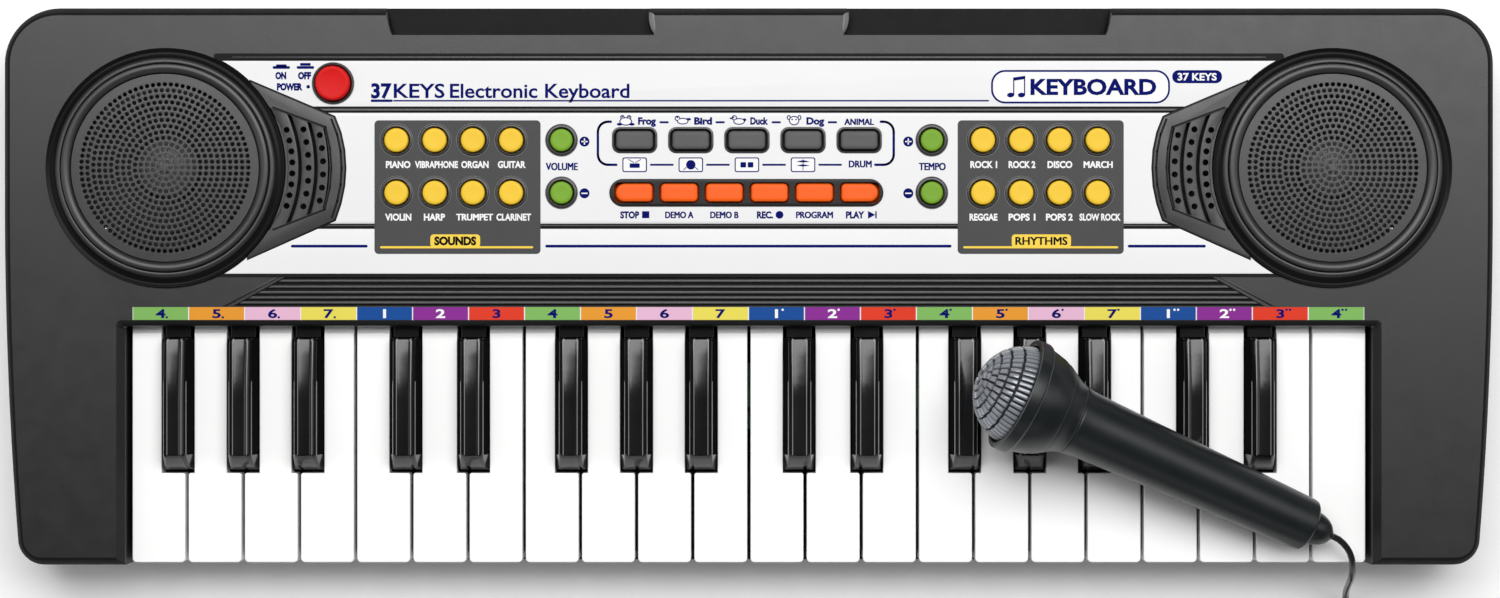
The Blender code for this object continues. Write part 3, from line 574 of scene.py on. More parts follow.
def make_top_case():
    """The upper shell, with a rounded rim, the flared key well and the two stepped ledges at the rear."""
    levels = [(PARTING, 0.5), (PARTING + 0.35, 0.12), (PARTING + 0.9, 0.0), (DECK - 5.2, 0.0), (DECK - 4.2, 0.22),
              (DECK - 2.4, 0.95), (DECK - 1.1, 1.65), (DECK - 0.55, 1.98), (DECK - 0.25, 2.2), (DECK - 0.08, 2.5),
              (DECK, 2.95)]
    bm = bmesh.new()
    loft(bm, case_rings(levels))
    hollow = bmesh.new()
    loft(hollow, case_rings([(PARTING - 3, WALL), (DECK - WALL, WALL)]))
    walls = bmesh.new()
    for side, _ in both_sides():
        inner, outer = sorted((side * (WELL_HALF - 1.0), side * (WELL_HALF + 3.1)))
        box(walls, (inner, -HALF_DEPTH + 1.0, PARTING), (outer, WELL_REAR + WALL, DECK - WALL + 0.2))
        near, far = sorted((side * (LEDGE_NEAR - 3.1 - WALL), side * (LEDGE_FAR + WALL)))
        box(walls, (near, LEDGE_FRONT - WALL, LEDGE_Z - WALL), (far, 98.6, DECK - WALL + 0.2))
    fall = bmesh.new()
    box(fall, (-WELL_HALF - 1, WELL_REAR - 1.0, WHITE_TOP + 2.2), (WELL_HALF + 1, WELL_REAR + WALL, DECK - WALL + 0.2))
    well = bmesh.new()
    levels = [(0.0, 0.0, 0.0), (DECK - 2.7, 0.0, 0.0), (DECK - 2.2, 0.5, 0.0)]
    for step in range(1, 8):
        t = step / 7
        levels.append((DECK - 2.2 + 2.2 * t, 0.5 + 2.2 * t, WELL_LIP * (1 - sqrt(max(0.0, 1 - t * t)))))
    levels.append((DECK + 8, 2.7, WELL_LIP))
    rings = []
    for z, flare, lip in levels:
        half, rear = WELL_HALF + flare, WELL_REAR + lip
        right = [(half, -112.0)] + arc(half - 1.2, rear - 1.2, 1.2, 0, 90, 4)
        rings.append([(x, y, z) for x, y in right] + [(-x, y, z) for x, y in reversed(right)])
    loft(well, rings)
    holes = bmesh.new()
    window_z = (DECK - WALL - 2, DECK + 3)
    prism(holes, rounded(0, (8.5 + 76.7) / 2, 280, 68.2, 1.5), window_z)
    prism(holes, arc(*POWER_PLACE, POWER_RADIUS + 0.5, 0, 352, 44), window_z)
    for side, _ in both_sides():
        prism(holes, arc(side * SPEAKER.x, SPEAKER.y, 34.0, 0, 356, 89), window_z)
        ledge = [[(x, y, z) for x, y in ledge_outline(side, grow)]
                 for z, grow in ((LEDGE_Z, 0.0), (DECK - 1.5, 0.1), (DECK - 1.0, 0.5), (DECK - 0.25, 1.8), (DECK, 2.4),
                                 (DECK + 3, 2.5))]
        loft(holes, ledge)
        prism(holes, vent_window(side), (DECK - WALL - 2, DECK + 3))
    prism(holes, [(-166.2, 3.3), (-184.6, -7.0), (184.6, -7.0), (166.2, 3.3)], (DECK - 1.0, DECK + 3))
    sockets = bmesh.new()
    for x in (-205.0, -180.0):
        lathe(sockets, [(0, 94.0), (4.2, 94.0), (4.2, 103.0), (0, 103.0)], 28,
              Matrix.Translation((x, 0, 28.0)) @ Matrix.Rotation(-pi / 2, 4, "X"))
    bm = carve(bm, ("DIFFERENCE", hollow), ("UNION", walls), ("UNION", fall), ("DIFFERENCE", well),
               ("DIFFERENCE", holes), ("DIFFERENCE", sockets))
    for face in bm.faces:
        spot = face.calc_center_median()
        outer = abs(spot.x) > WELL_HALF + 4.5 or spot.y > HALF_DEPTH - EDGE_ROUND - 0.2
        ledge = spot.y > LEDGE_FRONT - 4 and LEDGE_NEAR - 6 < abs(spot.x) < LEDGE_FAR + 4
        if outer and face.normal.z < 0.99 and not (ledge and face.normal.z > 0.3):
            face.material_index = 1
        if ledge and spot.z < DECK - 1.8:
            face.material_index = 2
        # the sloped ends of the ledges get the painted highlight
        if ledge and abs(spot.x) < LEDGE_NEAR and DECK - 1.2 < spot.z < DECK and face.normal.z > 0.2:
            face.material_index = 3
        if abs(spot.x) < 190 and spot.y < 4 and DECK - 1.1 < spot.z < DECK - 0.05:
            face.material_index = 2
    piece("case_top", bm, [CASE, CASE_EDGE, CASE_DARK, LEDGE_PAINTED_HIGHLIGHT], replaces=("top_case",), smooth=30,
          weighted=True)


def make_deck_trim():
    """Strips that edge the deck: the fine lines by the panel, the ribs and the small wedge beside them."""
    bm = bmesh.new()
    for y in (2.0, -0.1, -2.1, -4.0, -5.8):
        half = 168.2 + (2.0 - y) * 1.8
        outline = [(-half - 0.7, y - 0.55), (half + 0.7, y - 0.55), (half - 1.2, y + 0.55), (-half + 1.2, y + 0.55)]
        prism(bm, outline, (DECK - 1.4, DECK + 0.15), 0.25, 3)
    for side, _ in both_sides():
        wedge = [(side * 168.4, 3.3), (side * 169.3, 3.3), (side * 188.6, -7.0), (side * 186.9, -7.0)]
        prism(bm, wedge, (DECK - 0.2, DECK + 0.4), 0.15, 2)
    piece("deck_ribs", bm, CASE)


def make_bottom_case():
    """The lower shell: rounded underside edge, feet, screw wells, bay and an air grille."""
    floor = BASE_LOW.z + 4.0 if BASE_LOW.z < 1 else BASE_LOW.z
    top = PARTING - 0.3
    bm = bmesh.new()
    loft(bm, case_rings([(floor, 2.6), (floor + 0.3, 1.6), (floor + 1.1, 0.7), (floor + 2.6, 0.0),
                         (top - 0.8, 0.0), (top - 0.3, 0.12), (top, 0.5)]))
    hollow = bmesh.new()
    loft(hollow, case_rings([(floor + WALL, 3.4), (top + 10, 2.6)]))
    extras = bmesh.new()
    box(extras, (-54.6, 31.4, floor + 0.6), (54.6, 84.6, 24.6))
    for x, y in SCREWS:
        lathe(extras, [(0, floor + 0.5), (4.6, floor + 0.5), (4.3, top - 1.5), (0, top - 1.5)], 24,
              Matrix.Translation((x, y, 0)))
    bay = bmesh.new()
    box(bay, (-52, 34, 0), (52, 82, 22))
    wells = bmesh.new()
    for x, y in SCREWS:
        lathe(wells, [(0, 0), (3.5, 0), (3.3, top - 4.0), (0, top - 4.0)], 24, Matrix.Translation((x, y, 0)))
    for side, _ in both_sides():
        for row in range(7):
            prism(wells, rounded(side * 150, 40 + 5 * row, 34, 2.2, 1.05, 4), (0, floor + WALL + 1))
    for side in (-1, 1):
        box(wells, (side * 30 - 5, 33.0 - 1.5, 0), (side * 30 + 5, 34.5, floor + 1.2))
    bm = carve(bm, ("DIFFERENCE", hollow), ("UNION", extras), ("DIFFERENCE", bay), ("DIFFERENCE", wells))
    piece("case_bottom", bm, CASE, replaces=("bottom_case",), smooth=30, weighted=True)
    feet = bmesh.new()
    for x, y in FEET:
        place = Matrix.Translation((x, y, 0))
        lathe(feet, [(0, 0.0), (5.6, 0.0), (6.4, 0.3), (6.9, 1.0), (7.0, floor + 0.4), (0, floor + 0.4)], 36, place)
        for ring in (1.8, 3.4):
            lathe(feet, [(ring, 0.0), (ring + 0.5, 0.0), (ring + 0.5, 0.4), (ring, 0.4)], 30, place)
    piece("rubber_feet", feet, RUBBER)
    screws = bmesh.new()
    for x, y in SCREWS:
        place = Matrix.Translation((x, y, top - 6.2))
        lathe(screws, [(0.5, 0.4), (2.4, 0.0), (2.9, 0.7), (2.9, 2.0), (0, 2.0)], 24, place)
        for turn in range(2):
            slot = Matrix.Translation((x, y, top - 6.2 + 0.9)) @ Matrix.Rotation(pi / 2 * turn + pi / 4, 4, "Z")
            made = bmesh.ops.create_cube(screws, size=1, matrix=slot @ Matrix.Diagonal((3.0, 0.6, 1.6, 1)))
            for face in {f for v in made["verts"] for f in v.link_faces}:
                face.material_index = 1
    piece("case_screws", screws, [NICKEL, CASE_DARK])


FEET = ((-238, 80), (238, 80), (-240, -80), (240, -80))
SCREWS = ((-255, 60), (255, 60), (-200, 88), (200, 88), (-100, 90), (100, 90), (-254, -55), (254, -55),
          (-170, -88), (170, -88), (-60, -88), (60, -88), (-120, 10), (120, 10))


def make_battery_door():
    """The bay's cover, with finger ribs, two hinge lugs and a latch."""
    low, high = mm_box("battery_door")
    bm = bmesh.new()
    box(bm, low, high, 0.35, 3)
    for rib in range(9):
        y = high.y - 5.0 - 1.8 * rib
        box(bm, (-11 + abs(rib - 4), y - 0.4, low.z - 0.0), (11 - abs(rib - 4), y + 0.4, low.z + 0.5), 0.15, 1)
    for side in (-1, 1):
        box(bm, (side * 30 - 4, low.y - 0.1, low.z + 0.4), (side * 30 + 4, low.y + 3.5, high.z + 0.5), 0.3, 2)
    box(bm, (-6, high.y - 4.0, high.z - 0.2), (6, high.y - 0.4, high.z + 2.2), 0.4, 2)
    groove = bmesh.new()
    for x in (-1, 1):
        prism(groove, rounded(x * 26, (low.y + high.y) / 2, 16, 26, 2, 4), (low.z - 1, low.z + 0.35))
    bm = carve(bm, ("DIFFERENCE", groove))
    piece("battery_cover", bm, CASE, body="battery_flap", replaces=("battery_door",))
    springs = bmesh.new()
    for row in range(4):
        for side in (-1, 1):
            x, y = side * 49.5, 40 + 11.2 * row
            if (row % 2 == 0) == (side > 0):
                points = [(x - side * 4.5 * t / 40, y + 3 * (1 - t / 90) * cos(t * pi / 6),
                           14 + 3 * (1 - t / 90) * sin(t * pi / 6)) for t in range(41)]
                sweep(springs, points, 0.3, 6)
            else:
                box(springs, (x + side * 1.6, y - 4, 10), (x + side * 2.0, y + 4, 18), 0.1, 1)
    piece("battery_contacts", springs, NICKEL)


def make_sockets():
    """The two round sockets in the rear wall, behind the left speaker."""
    bm = bmesh.new()
    for x, bore in ((-205.0, 1.85), (-180.0, 2.6)):
        place = Matrix.Translation((x, 0, 28.0)) @ Matrix.Rotation(-pi / 2, 4, "X")
        lathe(bm, [(bore, 89.0), (bore, 98.6), (bore + 0.3, 98.9), (3.4, 98.9), (3.9, 98.4), (3.9, 88.0), (0, 88.0),
                   (0, 88.6), (bore, 89.0)], 32, place)
    piece("rear_sockets", bm, CASE_DARK)


make_top_case()
make_deck_trim()
make_bottom_case()
make_battery_door()
make_sockets()


# ---------------------------------------------------------------- print and panel

BAND_Y = ((64.3, 80.7), (22.4, 62.1), (4.5, 20.6))
CONTROL_X = -0.7
ROW_REAR, ROW_FRONT = 52.3, 33.5
SOUND_X, RHYTHM_X = -105.5, 104.2
SMALL_PITCH, SMALL_RADIUS = 13.67, 4.3
ROCKER_X = (("volume", -67.0), ("tempo", 65.4))
ROCKER_RADIUS = 4.0
PAD_PITCH, PAD_SIZE = 20.07, (13.6, 6.8)
FUNCTION_PITCH, FUNCTION_SIZE = 16.12, (13.6, 6.6)
CAP_TOP = 47.0
PRINT = (PANEL_TOP - 0.02, PANEL_TOP + 0.03)
OVERPRINT = (PANEL_TOP + 0.02, PANEL_TOP + 0.10)


def row_places(pitch, count, y):
    """Evenly spaced places about the middle of the controls."""
    return [(CONTROL_X + pitch * (i - (count - 1) / 2), y) for i in range(count)]


def small_places(middle):
    """Two rows of four small buttons."""
    return [p for y in (ROW_REAR, ROW_FRONT) for p in
            [(middle + SMALL_PITCH * (i - 1.5), y) for i in range(4)]]


def font_mesh(words, bold):
    """The flat mesh of some words at text size 1."""
    data = bpy.data.curves.new("words", "FONT")
    data.body = words
    data.size = 1.0
    data.offset = bold
    data.resolution_u = 3
    obj = bpy.data.objects.new("words", data)
    bpy.context.scene.collection.objects.link(obj)
    mesh = bpy.data.meshes.new_from_object(obj.evaluated_get(bpy.context.evaluated_depsgraph_get()))
    bpy.data.objects.remove(obj)
    bpy.data.curves.remove(data)
    return mesh


CAPITAL = 0.70


TWICE = 0.13  # an M fills in when it is drawn bold, so words with one are printed four times, this far to each side


def write(bm, words, x, y, height, z, width=None, bold=0.0, align="CENTER", spread=1.0, material=0):
    """Prints words so that their capitals are a height tall, about a middle or from a left end."""
    if "M" in words and bold:
        for n, (right, up) in enumerate(((-1, -1), (-1, 1), (1, -1), (1, 1))):
            write(bm, words, x + right * TWICE, y + up * TWICE / 2, height, (z[0], z[1] + 0.002 * n), width, 0.0, align,
                  spread, material)
        return
    mesh = font_mesh(words, bold)
    xs = [v.co.x for v in mesh.vertices]
    scale = height / CAPITAL
    if width:
        spread = width / ((max(xs) - min(xs)) * scale)
    left = x if align == "LEFT" else x - (max(xs) + min(xs)) / 2 * scale * spread
    if align == "LEFT":
        left -= min(xs) * scale * spread
    made = {}
    for vert in mesh.vertices:
        made[vert.index] = bm.verts.new((left + vert.co.x * scale * spread, y - height / 2 + vert.co.y * scale, z[1]))
    for polygon in mesh.polygons:
        corners = list(dict.fromkeys(made[i] for i in polygon.vertices))
        if len(corners) > 2 and not bm.faces.get(corners):
            bm.faces.new(corners).material_index = material
    bpy.data.meshes.remove(mesh)


def panel_cutter(z, grow=0.0):
    """What the panel gives way to at its ends: the speaker rings and the vents."""
    rings = bmesh.new()
    for side, _ in both_sides():
        prism(rings, arc(side * SPEAKER.x, SPEAKER.y, 43.35 + grow, 0, 357.5, 143), z)
    vents = bmesh.new()
    for side, _ in both_sides():
        prism(vents, vent_frame(side, 0.5 + grow), z)
    return [("DIFFERENCE", rings), ("DIFFERENCE", vents)]


def button_cutter(z, extra=0.5):
    """A hole for each button."""
    bm = bmesh.new()
    for x, y in small_places(SOUND_X) + small_places(RHYTHM_X):
        prism(bm, arc(x, y, SMALL_RADIUS + extra, 0, 350, 35), z)
    for _, x in ROCKER_X:
        for y in (ROW_REAR, ROW_FRONT):
            prism(bm, arc(x, y, ROCKER_RADIUS + extra, 0, 350, 35), z)
    prism(bm, arc(*POWER_PLACE, POWER_RADIUS + extra, 0, 352, 44), z)
    for (x, y), (w, h) in [(p, PAD_SIZE) for p in row_places(PAD_PITCH, 5, ROW_REAR)] + \
            [(p, FUNCTION_SIZE) for p in row_places(FUNCTION_PITCH, 6, ROW_FRONT)]:
        prism(bm, rounded(x, y, w + 2 * extra, h + 2 * extra, 1.6 + extra, 5), z)
    return ("DIFFERENCE", bm)


def make_panel():
    """The white panel in three bands over a dark ground, with a hole for each button."""
    z = (PANEL_TOP - 3.5, PANEL_TOP + 3)
    bm = bmesh.new()
    for low, high in BAND_Y:
        prism(bm, rounded(0, (low + high) / 2, 381, high - low, 0.6, 3), (PANEL_TOP - 0.9, PANEL_TOP), 0.22, 2)
    bm = carve(bm, *panel_cutter(z), button_cutter(z))
    piece("panel_bands", bm, PANEL, replaces=("control_panel",), smooth=25)
    bm = bmesh.new()
    prism(bm, rounded(0, 43.4, 383, 80.0, 1.0, 3), (PANEL_TOP - 1.25, PANEL_TOP - 0.85))
    bm = carve(bm, *panel_cutter(z, -0.35), button_cutter(z, 0.8))
    piece("panel_ground", bm, CASE_DARK)
    bm = bmesh.new()
    for y in (63.2, 21.5):
        box(bm, (-190, y - 0.55, PANEL_TOP - 0.95), (190, y + 0.55, PANEL_TOP - 0.25), 0.2, 2)
    box(bm, (-185, 81.35, PANEL_TOP - 1.0), (185, 82.35, PANEL_TOP - 0.25), 0.2, 2)
    bm = carve(bm, *panel_cutter(z, 0.2))
    piece("panel_rules", bm, CASE)


def make_fields():
    """The two dark printed fields behind the small buttons and the track round the function row."""
    bm = bmesh.new()
    for middle in (-104.2, 104.35):
        prism(bm, rounded(middle, 35.5, 59.4, 47.8, 1.5, 6), PRINT)
    z = (PANEL_TOP - 2, PANEL_TOP + 2)
    bm = carve(bm, button_cutter(z, 0.55))
    piece("dark_fields", bm, FIELD)
    bm = bmesh.new()
    prism(bm, rounded(-0.9, 33.5, 98.0, 9.9, 4.9, 12), (PRINT[0], PRINT[1] + 0.45), 0.25, 3)
    bm = carve(bm, button_cutter(z, 0.45))
    piece("function_track", bm, TRACK)


def make_collars():
    """The moulded rims round the buttons."""
    bm = bmesh.new()
    low = PANEL_TOP - 0.9

    def round_collar(x, y, inner, outer):
        lathe(bm, [(inner, low), (inner, PANEL_TOP + 0.35), (inner + 0.25, PANEL_TOP + 0.62),
                   (outer - 0.55, PANEL_TOP + 0.62), (outer - 0.18, PANEL_TOP + 0.45), (outer, PANEL_TOP + 0.02),
                   (outer, low + 0.5), (inner, low)], 44, Matrix.Translation((x, y, 0)))
        # a thin ring round the collar in the painted highlight material
        lathe(bm, [(outer - 0.02, PANEL_TOP), (outer - 0.02, PANEL_TOP + 0.22), (outer + 0.16, PANEL_TOP + 0.22),
                   (outer + 0.16, PANEL_TOP), (outer - 0.02, PANEL_TOP)], 44, Matrix.Translation((x, y, 0)), 1)

    for x, y in small_places(SOUND_X) + small_places(RHYTHM_X):
        round_collar(x, y, SMALL_RADIUS + 0.5, 5.85)
    for _, x in ROCKER_X:
        for y in (ROW_REAR, ROW_FRONT):
            round_collar(x, y, ROCKER_RADIUS + 0.5, 5.7)
    round_collar(*POWER_PLACE, POWER_RADIUS + 0.5, 7.45)
    for x, y in row_places(PAD_PITCH, 5, ROW_REAR):
        rings = []
        w, h = PAD_SIZE
        for grow, z in ((0.5, low), (0.5, PANEL_TOP + 0.35), (0.7, PANEL_TOP + 0.6), (1.1, PANEL_TOP + 0.5),
                        (1.35, PANEL_TOP + 0.02), (1.35, low + 0.4), (0.5, low)):
            rings.append([bm.verts.new((px, py, z)) for px, py in
                          rounded(x, y, w + 2 * grow, h + 2 * grow, 1.6 + grow, 6)])
        for a, b in zip(rings, rings[1:]):
            for i in range(len(a)):
                j = (i + 1) % len(a)
                bm.faces.new((a[i], a[j], b[j], b[i]))
    bmesh.ops.remove_doubles(bm, verts=bm.verts, dist=0.0005)
    piece("button_collars", bm, [RIM, COLLAR_PAINTED_HIGHLIGHT], smooth=40)


def round_cap(bm, x, y, radius, top=CAP_TOP, steps=40):
    """A round rubber cap with a soft edge and a faintly hollow top, on a flange."""
    profile = [(0, top - 0.12), (radius * 0.55, top - 0.06), (radius - 1.0, top), (radius - 0.5, top - 0.08),
               (radius - 0.15, top - 0.36), (radius - 0.02, top - 0.8), (radius, top - 1.4), (radius, 40.0),
               (radius + 0.9, 39.8), (radius + 0.9, 39.0), (0, 39.0)]
    lathe(bm, profile, steps, Matrix.Translation((x, y, 0)))


def long_cap(bm, x, y, size, corner=1.6, top=CAP_TOP):
    """An oblong rubber cap with a soft edge."""
    w, h = size
    rings = []
    for inset, z in ((-0.8, 39.0), (-0.8, 39.8), (0.0, 40.0), (0.0, top - 1.2), (0.08, top - 0.7),
                     (0.3, top - 0.3), (0.7, top - 0.08), (1.1, top), (2.2, top - 0.06)):
        radius = max(0.15, corner - inset)
        rings.append([(px, py, z) for px, py in rounded(x, y, w - 2 * inset, h - 2 * inset, radius, 6)])
    loft(bm, rings)


def end_cap(bm, x, y, size, side, top=CAP_TOP):
    """An oblong cap whose outer end is a half circle."""
    w, h = size
    rings = []
    for inset, z in ((-0.8, 39.0), (-0.8, 39.8), (0.0, 40.0), (0.0, top - 1.2), (0.08, top - 0.7),
                     (0.3, top - 0.3), (0.7, top - 0.08), (1.1, top), (2.0, top - 0.06)):
        half, tall = w / 2 - inset, h / 2 - inset
        corner = max(0.15, 1.6 - inset)
        points = arc(half - tall, 0, tall, -90, 90, 14)
        points += arc(-half + corner, tall - corner, corner, 90, 180, 6)
        points += arc(-half + corner, -tall + corner, corner, 180, 270, 6)
        points = [(side * px, py) for px, py in points]
        rings.append([(x + px, y + py, z) for px, py in points])
    loft(bm, rings)


def mat(bm, places, wide, tall=5.5):
    """The thin rubber mat that joins some caps."""
    xs = [x for x, _ in places]
    ys = [y for _, y in places]
    box(bm, (min(xs) - wide, min(ys) - tall, 38.5), (max(xs) + wide, max(ys) + tall, 39.4), 0.3, 2)


def make_caps():
    """Every button's cap, one piece for each keypad."""
    for name, middle in (("sounds", SOUND_X), ("rhythms", RHYTHM_X)):
        bm = bmesh.new()
        for x, y in small_places(middle):
            round_cap(bm, x, y, SMALL_RADIUS)
        mat(bm, small_places(middle), 5.5)
        piece(f"{name}_buttons", bm, YELLOW, f"{name}_keypad_body", (f"{name}_keypad",))
    for name, x in ROCKER_X:
        bm = bmesh.new()
        places = [(x, ROW_REAR), (x, ROW_FRONT)]
        for place in places:
            round_cap(bm, *place, ROCKER_RADIUS)
        mat(bm, places, 5.5)
        piece(f"{name}_buttons", bm, GREEN, f"{name}_keypad_body", (f"{name}_keypad",))
    bm = bmesh.new()
    for x, y in row_places(PAD_PITCH, 5, ROW_REAR):
        long_cap(bm, x, y, (PAD_SIZE[0] - 0.4, PAD_SIZE[1] - 0.2))
    mat(bm, row_places(PAD_PITCH, 5, ROW_REAR), 7.6)
    piece("drum_buttons", bm, GREY, "drum_keypad_body", ("drum_keypad",))
    bm = bmesh.new()
    places = row_places(FUNCTION_PITCH, 6, ROW_FRONT)
    for index, (x, y) in enumerate(places):
        size = (FUNCTION_SIZE[0] - 0.4, FUNCTION_SIZE[1] - 0.1)
        if index in (0, 5):
            end_cap(bm, x, y, size, -1 if index == 0 else 1)
        else:
            long_cap(bm, x, y, size)
    mat(bm, places, 7.6)
    piece("function_buttons", bm, ORANGE, "function_keypad_body", ("function_keypad",))
    bm = bmesh.new()
    top = mm_box("power_button")[1].z
    r = POWER_RADIUS
    lathe(bm, [(0, top - 0.35), (r * 0.5, top - 0.28), (r - 1.5, top - 0.08), (r - 1.0, top), (r - 0.5, top - 0.1),
               (r - 0.12, top - 0.5), (r, top - 1.2), (r, 40.0), (r + 1.5, 40.0), (r + 1.5, 38.6), (0, 38.6)],
          56, Matrix.Translation((*POWER_PLACE, 0)))
    piece("power_cap", bm, RED, "power_button_body", ("power_button",))


make_panel()
make_fields()
make_collars()
make_caps()


def px(value):
    """Millimetres across from the middle, for a place that is a share of the panel's half width."""
    return value * 190.5


def make_print():
    """Everything printed on the panel: generic words, marks, lines and lozenges."""
    white, navy, yellow, dark = bmesh.new(), bmesh.new(), bmesh.new(), bmesh.new()
    top = PRINT
    over = OVERPRINT
    sounds = (("PIANO", 8.8, 0.6), ("VIBRAPHONE", 15.4, 0.6), ("ORGAN", 9.8, 0.7), ("GUITAR", 10.0, 0.2),
              ("VIOLIN", 9.4, 0.6), ("HARP", 7.6, -0.1), ("TRUMPET", 13.0, 0.6), ("CLARINET", 12.4, 0.9))
    rhythms = (("ROCK 1", 9.6, 0.3), ("ROCK 2", 9.6, 0.3), ("DISCO", 8.9, 0.2), ("MARCH", 10.2, 0.2),
               ("REGGAE", 10.0, 0.2), ("POPS 1", 9.6, 0.3), ("POPS 2", 9.6, 0.0), ("SLOW ROCK", 14.8, 0.9))
    for names, middle in ((sounds, SOUND_X), (rhythms, RHYTHM_X)):
        for (name, width, shift), (x, y) in zip(names, small_places(middle)):
            write(white, name, x + shift, y - 8.7, 2.3, over, width, bold=0.040)
    line(yellow, [(-131.5, 14.0), (-77.5, 14.0)], 0.75, over)
    line(yellow, [(77.0, 14.0), (131.7, 14.0)], 0.75, over)
    for middle, width, words in ((-105.0, 17.8, "SOUNDS"), (104.6, 21.2, "RHYTHMS")):
        prism(yellow, rounded(middle, 16.3, width, 4.6, 1.2, 6), (over[0], over[1] + 0.02))
        write(dark, words, middle, 16.3, 2.8, (over[0], over[1] + 0.05), width - 2.8, bold=0.055)
    for words, x in (("VOLUME", -66.9), ("TEMPO", 65.6)):
        write(navy, words, x, 42.9, 2.6, top, 11.2 if words == "VOLUME" else 9.4, bold=0.040)
    for x in (-58.8, 57.0):
        for y, plus in ((51.8, True), (33.3, False)):
            prism(navy, arc(x, y, 1.8, 0, 350, 35), (top[0], over[0] + 0.03))
            box(white, (x - 1.1, y - 0.22, over[0]), (x + 1.1, y + 0.22, over[1] + 0.03))
            if plus:
                box(white, (x - 0.22, y - 1.1, over[0]), (x + 0.22, y + 1.1, over[1] + 0.03))
    for index, (x, y) in enumerate(row_places(PAD_PITCH, 5, ROW_REAR)):
        name = ("FROG", "BIRD", "DUCK", "DOG", "ANIMAL")[index]
        if index < 4:
            write(navy, name.capitalize(), x + 4.4, 59.2, 2.4, top, 6.4, bold=0.05)
            make_animal(navy, white, x - 3.2, 59.3, index, top)
            line(navy, [(x + 9.2, 58.7), (x + 11.8, 58.7)], 0.75, top)
            prism(navy, rounded(x, 43.5, 8.8, 5.3, 0.8, 5), top)
            prism(white, rounded(x, 43.5, 8.0, 4.5, 0.5, 5), (PANEL_TOP, PANEL_TOP + 0.05))
            make_instrument(navy, x, 43.5, index, over)
            line(navy, [(x + 5.8, 43.5), (x + 13.6, 43.5)], 0.7, top)
        else:
            write(navy, name, x, 58.9, 2.2, top, 10.4, bold=0.040)
            write(navy, "DRUM", x + 0.4, 43.8, 2.4, top, 8.0, bold=0.040)
    for side, x in ((-1, -49.4), (1, 47.2)):
        bend = arc(x + side * 1.0, 55.3, 3.6, 90, 90 - side * 90, 6)
        lower = arc(x + side * 1.0, 47.1, 3.6, -side * 0 if side > 0 else 180, -90 if side > 0 else 270, 6)
        line(navy, [(x, 58.9)] + bend + lower + [(x - side * 2.0, 43.5)], 0.9, top)
    names = (("STOP", 6.8), ("DEMO A", 9.9), ("DEMO B", 9.9), ("REC.", 5.8), ("PROGRAM", 13.0), ("PLAY", 6.6))
    for index, ((name, width), (x, y)) in enumerate(zip(names, row_places(FUNCTION_PITCH, 6, ROW_FRONT))):
        shift = -1.6 if index in (0, 3, 5) else 0.0
        write(navy, name, x + shift, 25.6, 2.3, top, width, bold=0.05)
        if index == 0:
            box(navy, (x + 2.8, 24.4, top[0]), (x + 5.4, 26.9, top[1]))
        elif index == 3:
            prism(navy, arc(x + 3.6, 25.6, 1.4, 0, 345, 23), top)
        elif index == 5:
            prism(navy, [(x + 3.0, 24.2), (x + 5.6, 25.6), (x + 3.0, 27.0)], top)
            box(navy, (x + 5.6, 24.3, top[0]), (x + 6.1, 26.9, top[1]))
    write(navy, "ON", -167.4, 75.4, 2.3, top, 3.9, bold=0.065)
    write(navy, "OFF", -158.9, 75.4, 2.3, top, 4.7, bold=0.065)
    write(navy, "POWER", -164.2, 71.4, 2.3, top, 9.2, bold=0.065)
    prism(navy, arc(-157.6, 71.4, 0.65, 0, 345, 23), top)
    for x, lift in ((-167.2, 0.0), (-158.6, 0.5)):
        prism(navy, rounded(x, 78.3, 6.2, 1.0, 0.4, 3), top)
        prism(navy, rounded(x, 78.9 + lift, 3.8, 1.0, 0.3, 3), top)
    write(navy, "37", -131.4, 70.0, 5.0, top, 7.4, bold=0.04)
    write(navy, "KEYS", -117.9, 70.0, 5.0, top, 18.2, bold=0.018)
    write(navy, "Electronic Keyboard", -74.8, 70.0, 5.0, top, 64.2, bold=0.018)
    line(navy, [(-134.8, 66.4), (-127.8, 66.4)], 0.9, top)
    line(navy, [(-127.0, 66.4), (85.6, 66.4)], 0.55, top)
    prism(navy, rounded(118.6, 71.4, 64.0, 12.0, 5.0, 10), top)
    prism(white, rounded(118.6, 71.4, 62.6, 10.6, 4.3, 10), (PANEL_TOP, PANEL_TOP + 0.05))
    write(navy, "KEYBOARD", 123.2, 71.4, 5.4, over, 45.0, bold=0.035)
    make_quaver(navy, 93.6, 71.3, 1.3, over)
    prism(navy, rounded(160.3, 75.0, 17.8, 4.7, 2.2, 8), top)
    write(white, "37 KEYS", 160.3, 75.0, 2.5, over, 14.0, bold=0.03)
    for low, high in ((-163.3, -136.8), (-72.3, 72.0), (136.0, 162.9)):
        line(navy, [(low, 14.4), (high, 14.4)], 1.0, top)
    piece("print_white", white, WHITE_INK)
    piece("print_navy", navy, NAVY)
    piece("print_yellow", yellow, YELLOW_INK)
    piece("print_dark", dark, DARK_INK)


def make_quaver(bm, x, y, scale, z):
    """A pair of joined quavers."""
    for dx in (0.0, 3.0):
        head = [(x + scale * (dx + 0.95 * cos(a) - 0.25 * sin(a)), y + scale * (-2.2 + 0.62 * sin(a) + 0.2 * cos(a)))
                for a in [2 * pi * i / 20 for i in range(20)]]
        prism(bm, head, z)
        stem = x + scale * (dx + 0.85)
        prism(bm, [(stem - 0.16 * scale, y - 2.2 * scale), (stem + 0.16 * scale, y - 2.2 * scale),
                   (stem + 0.16 * scale, y + 2.6 * scale), (stem - 0.16 * scale, y + 2.6 * scale)], z)
    left, right = x + 0.7 * scale, x + 4.0 * scale
    prism(bm, [(left, y + 1.7 * scale), (right, y + 2.2 * scale), (right, y + 3.1 * scale), (left, y + 2.6 * scale)], z)


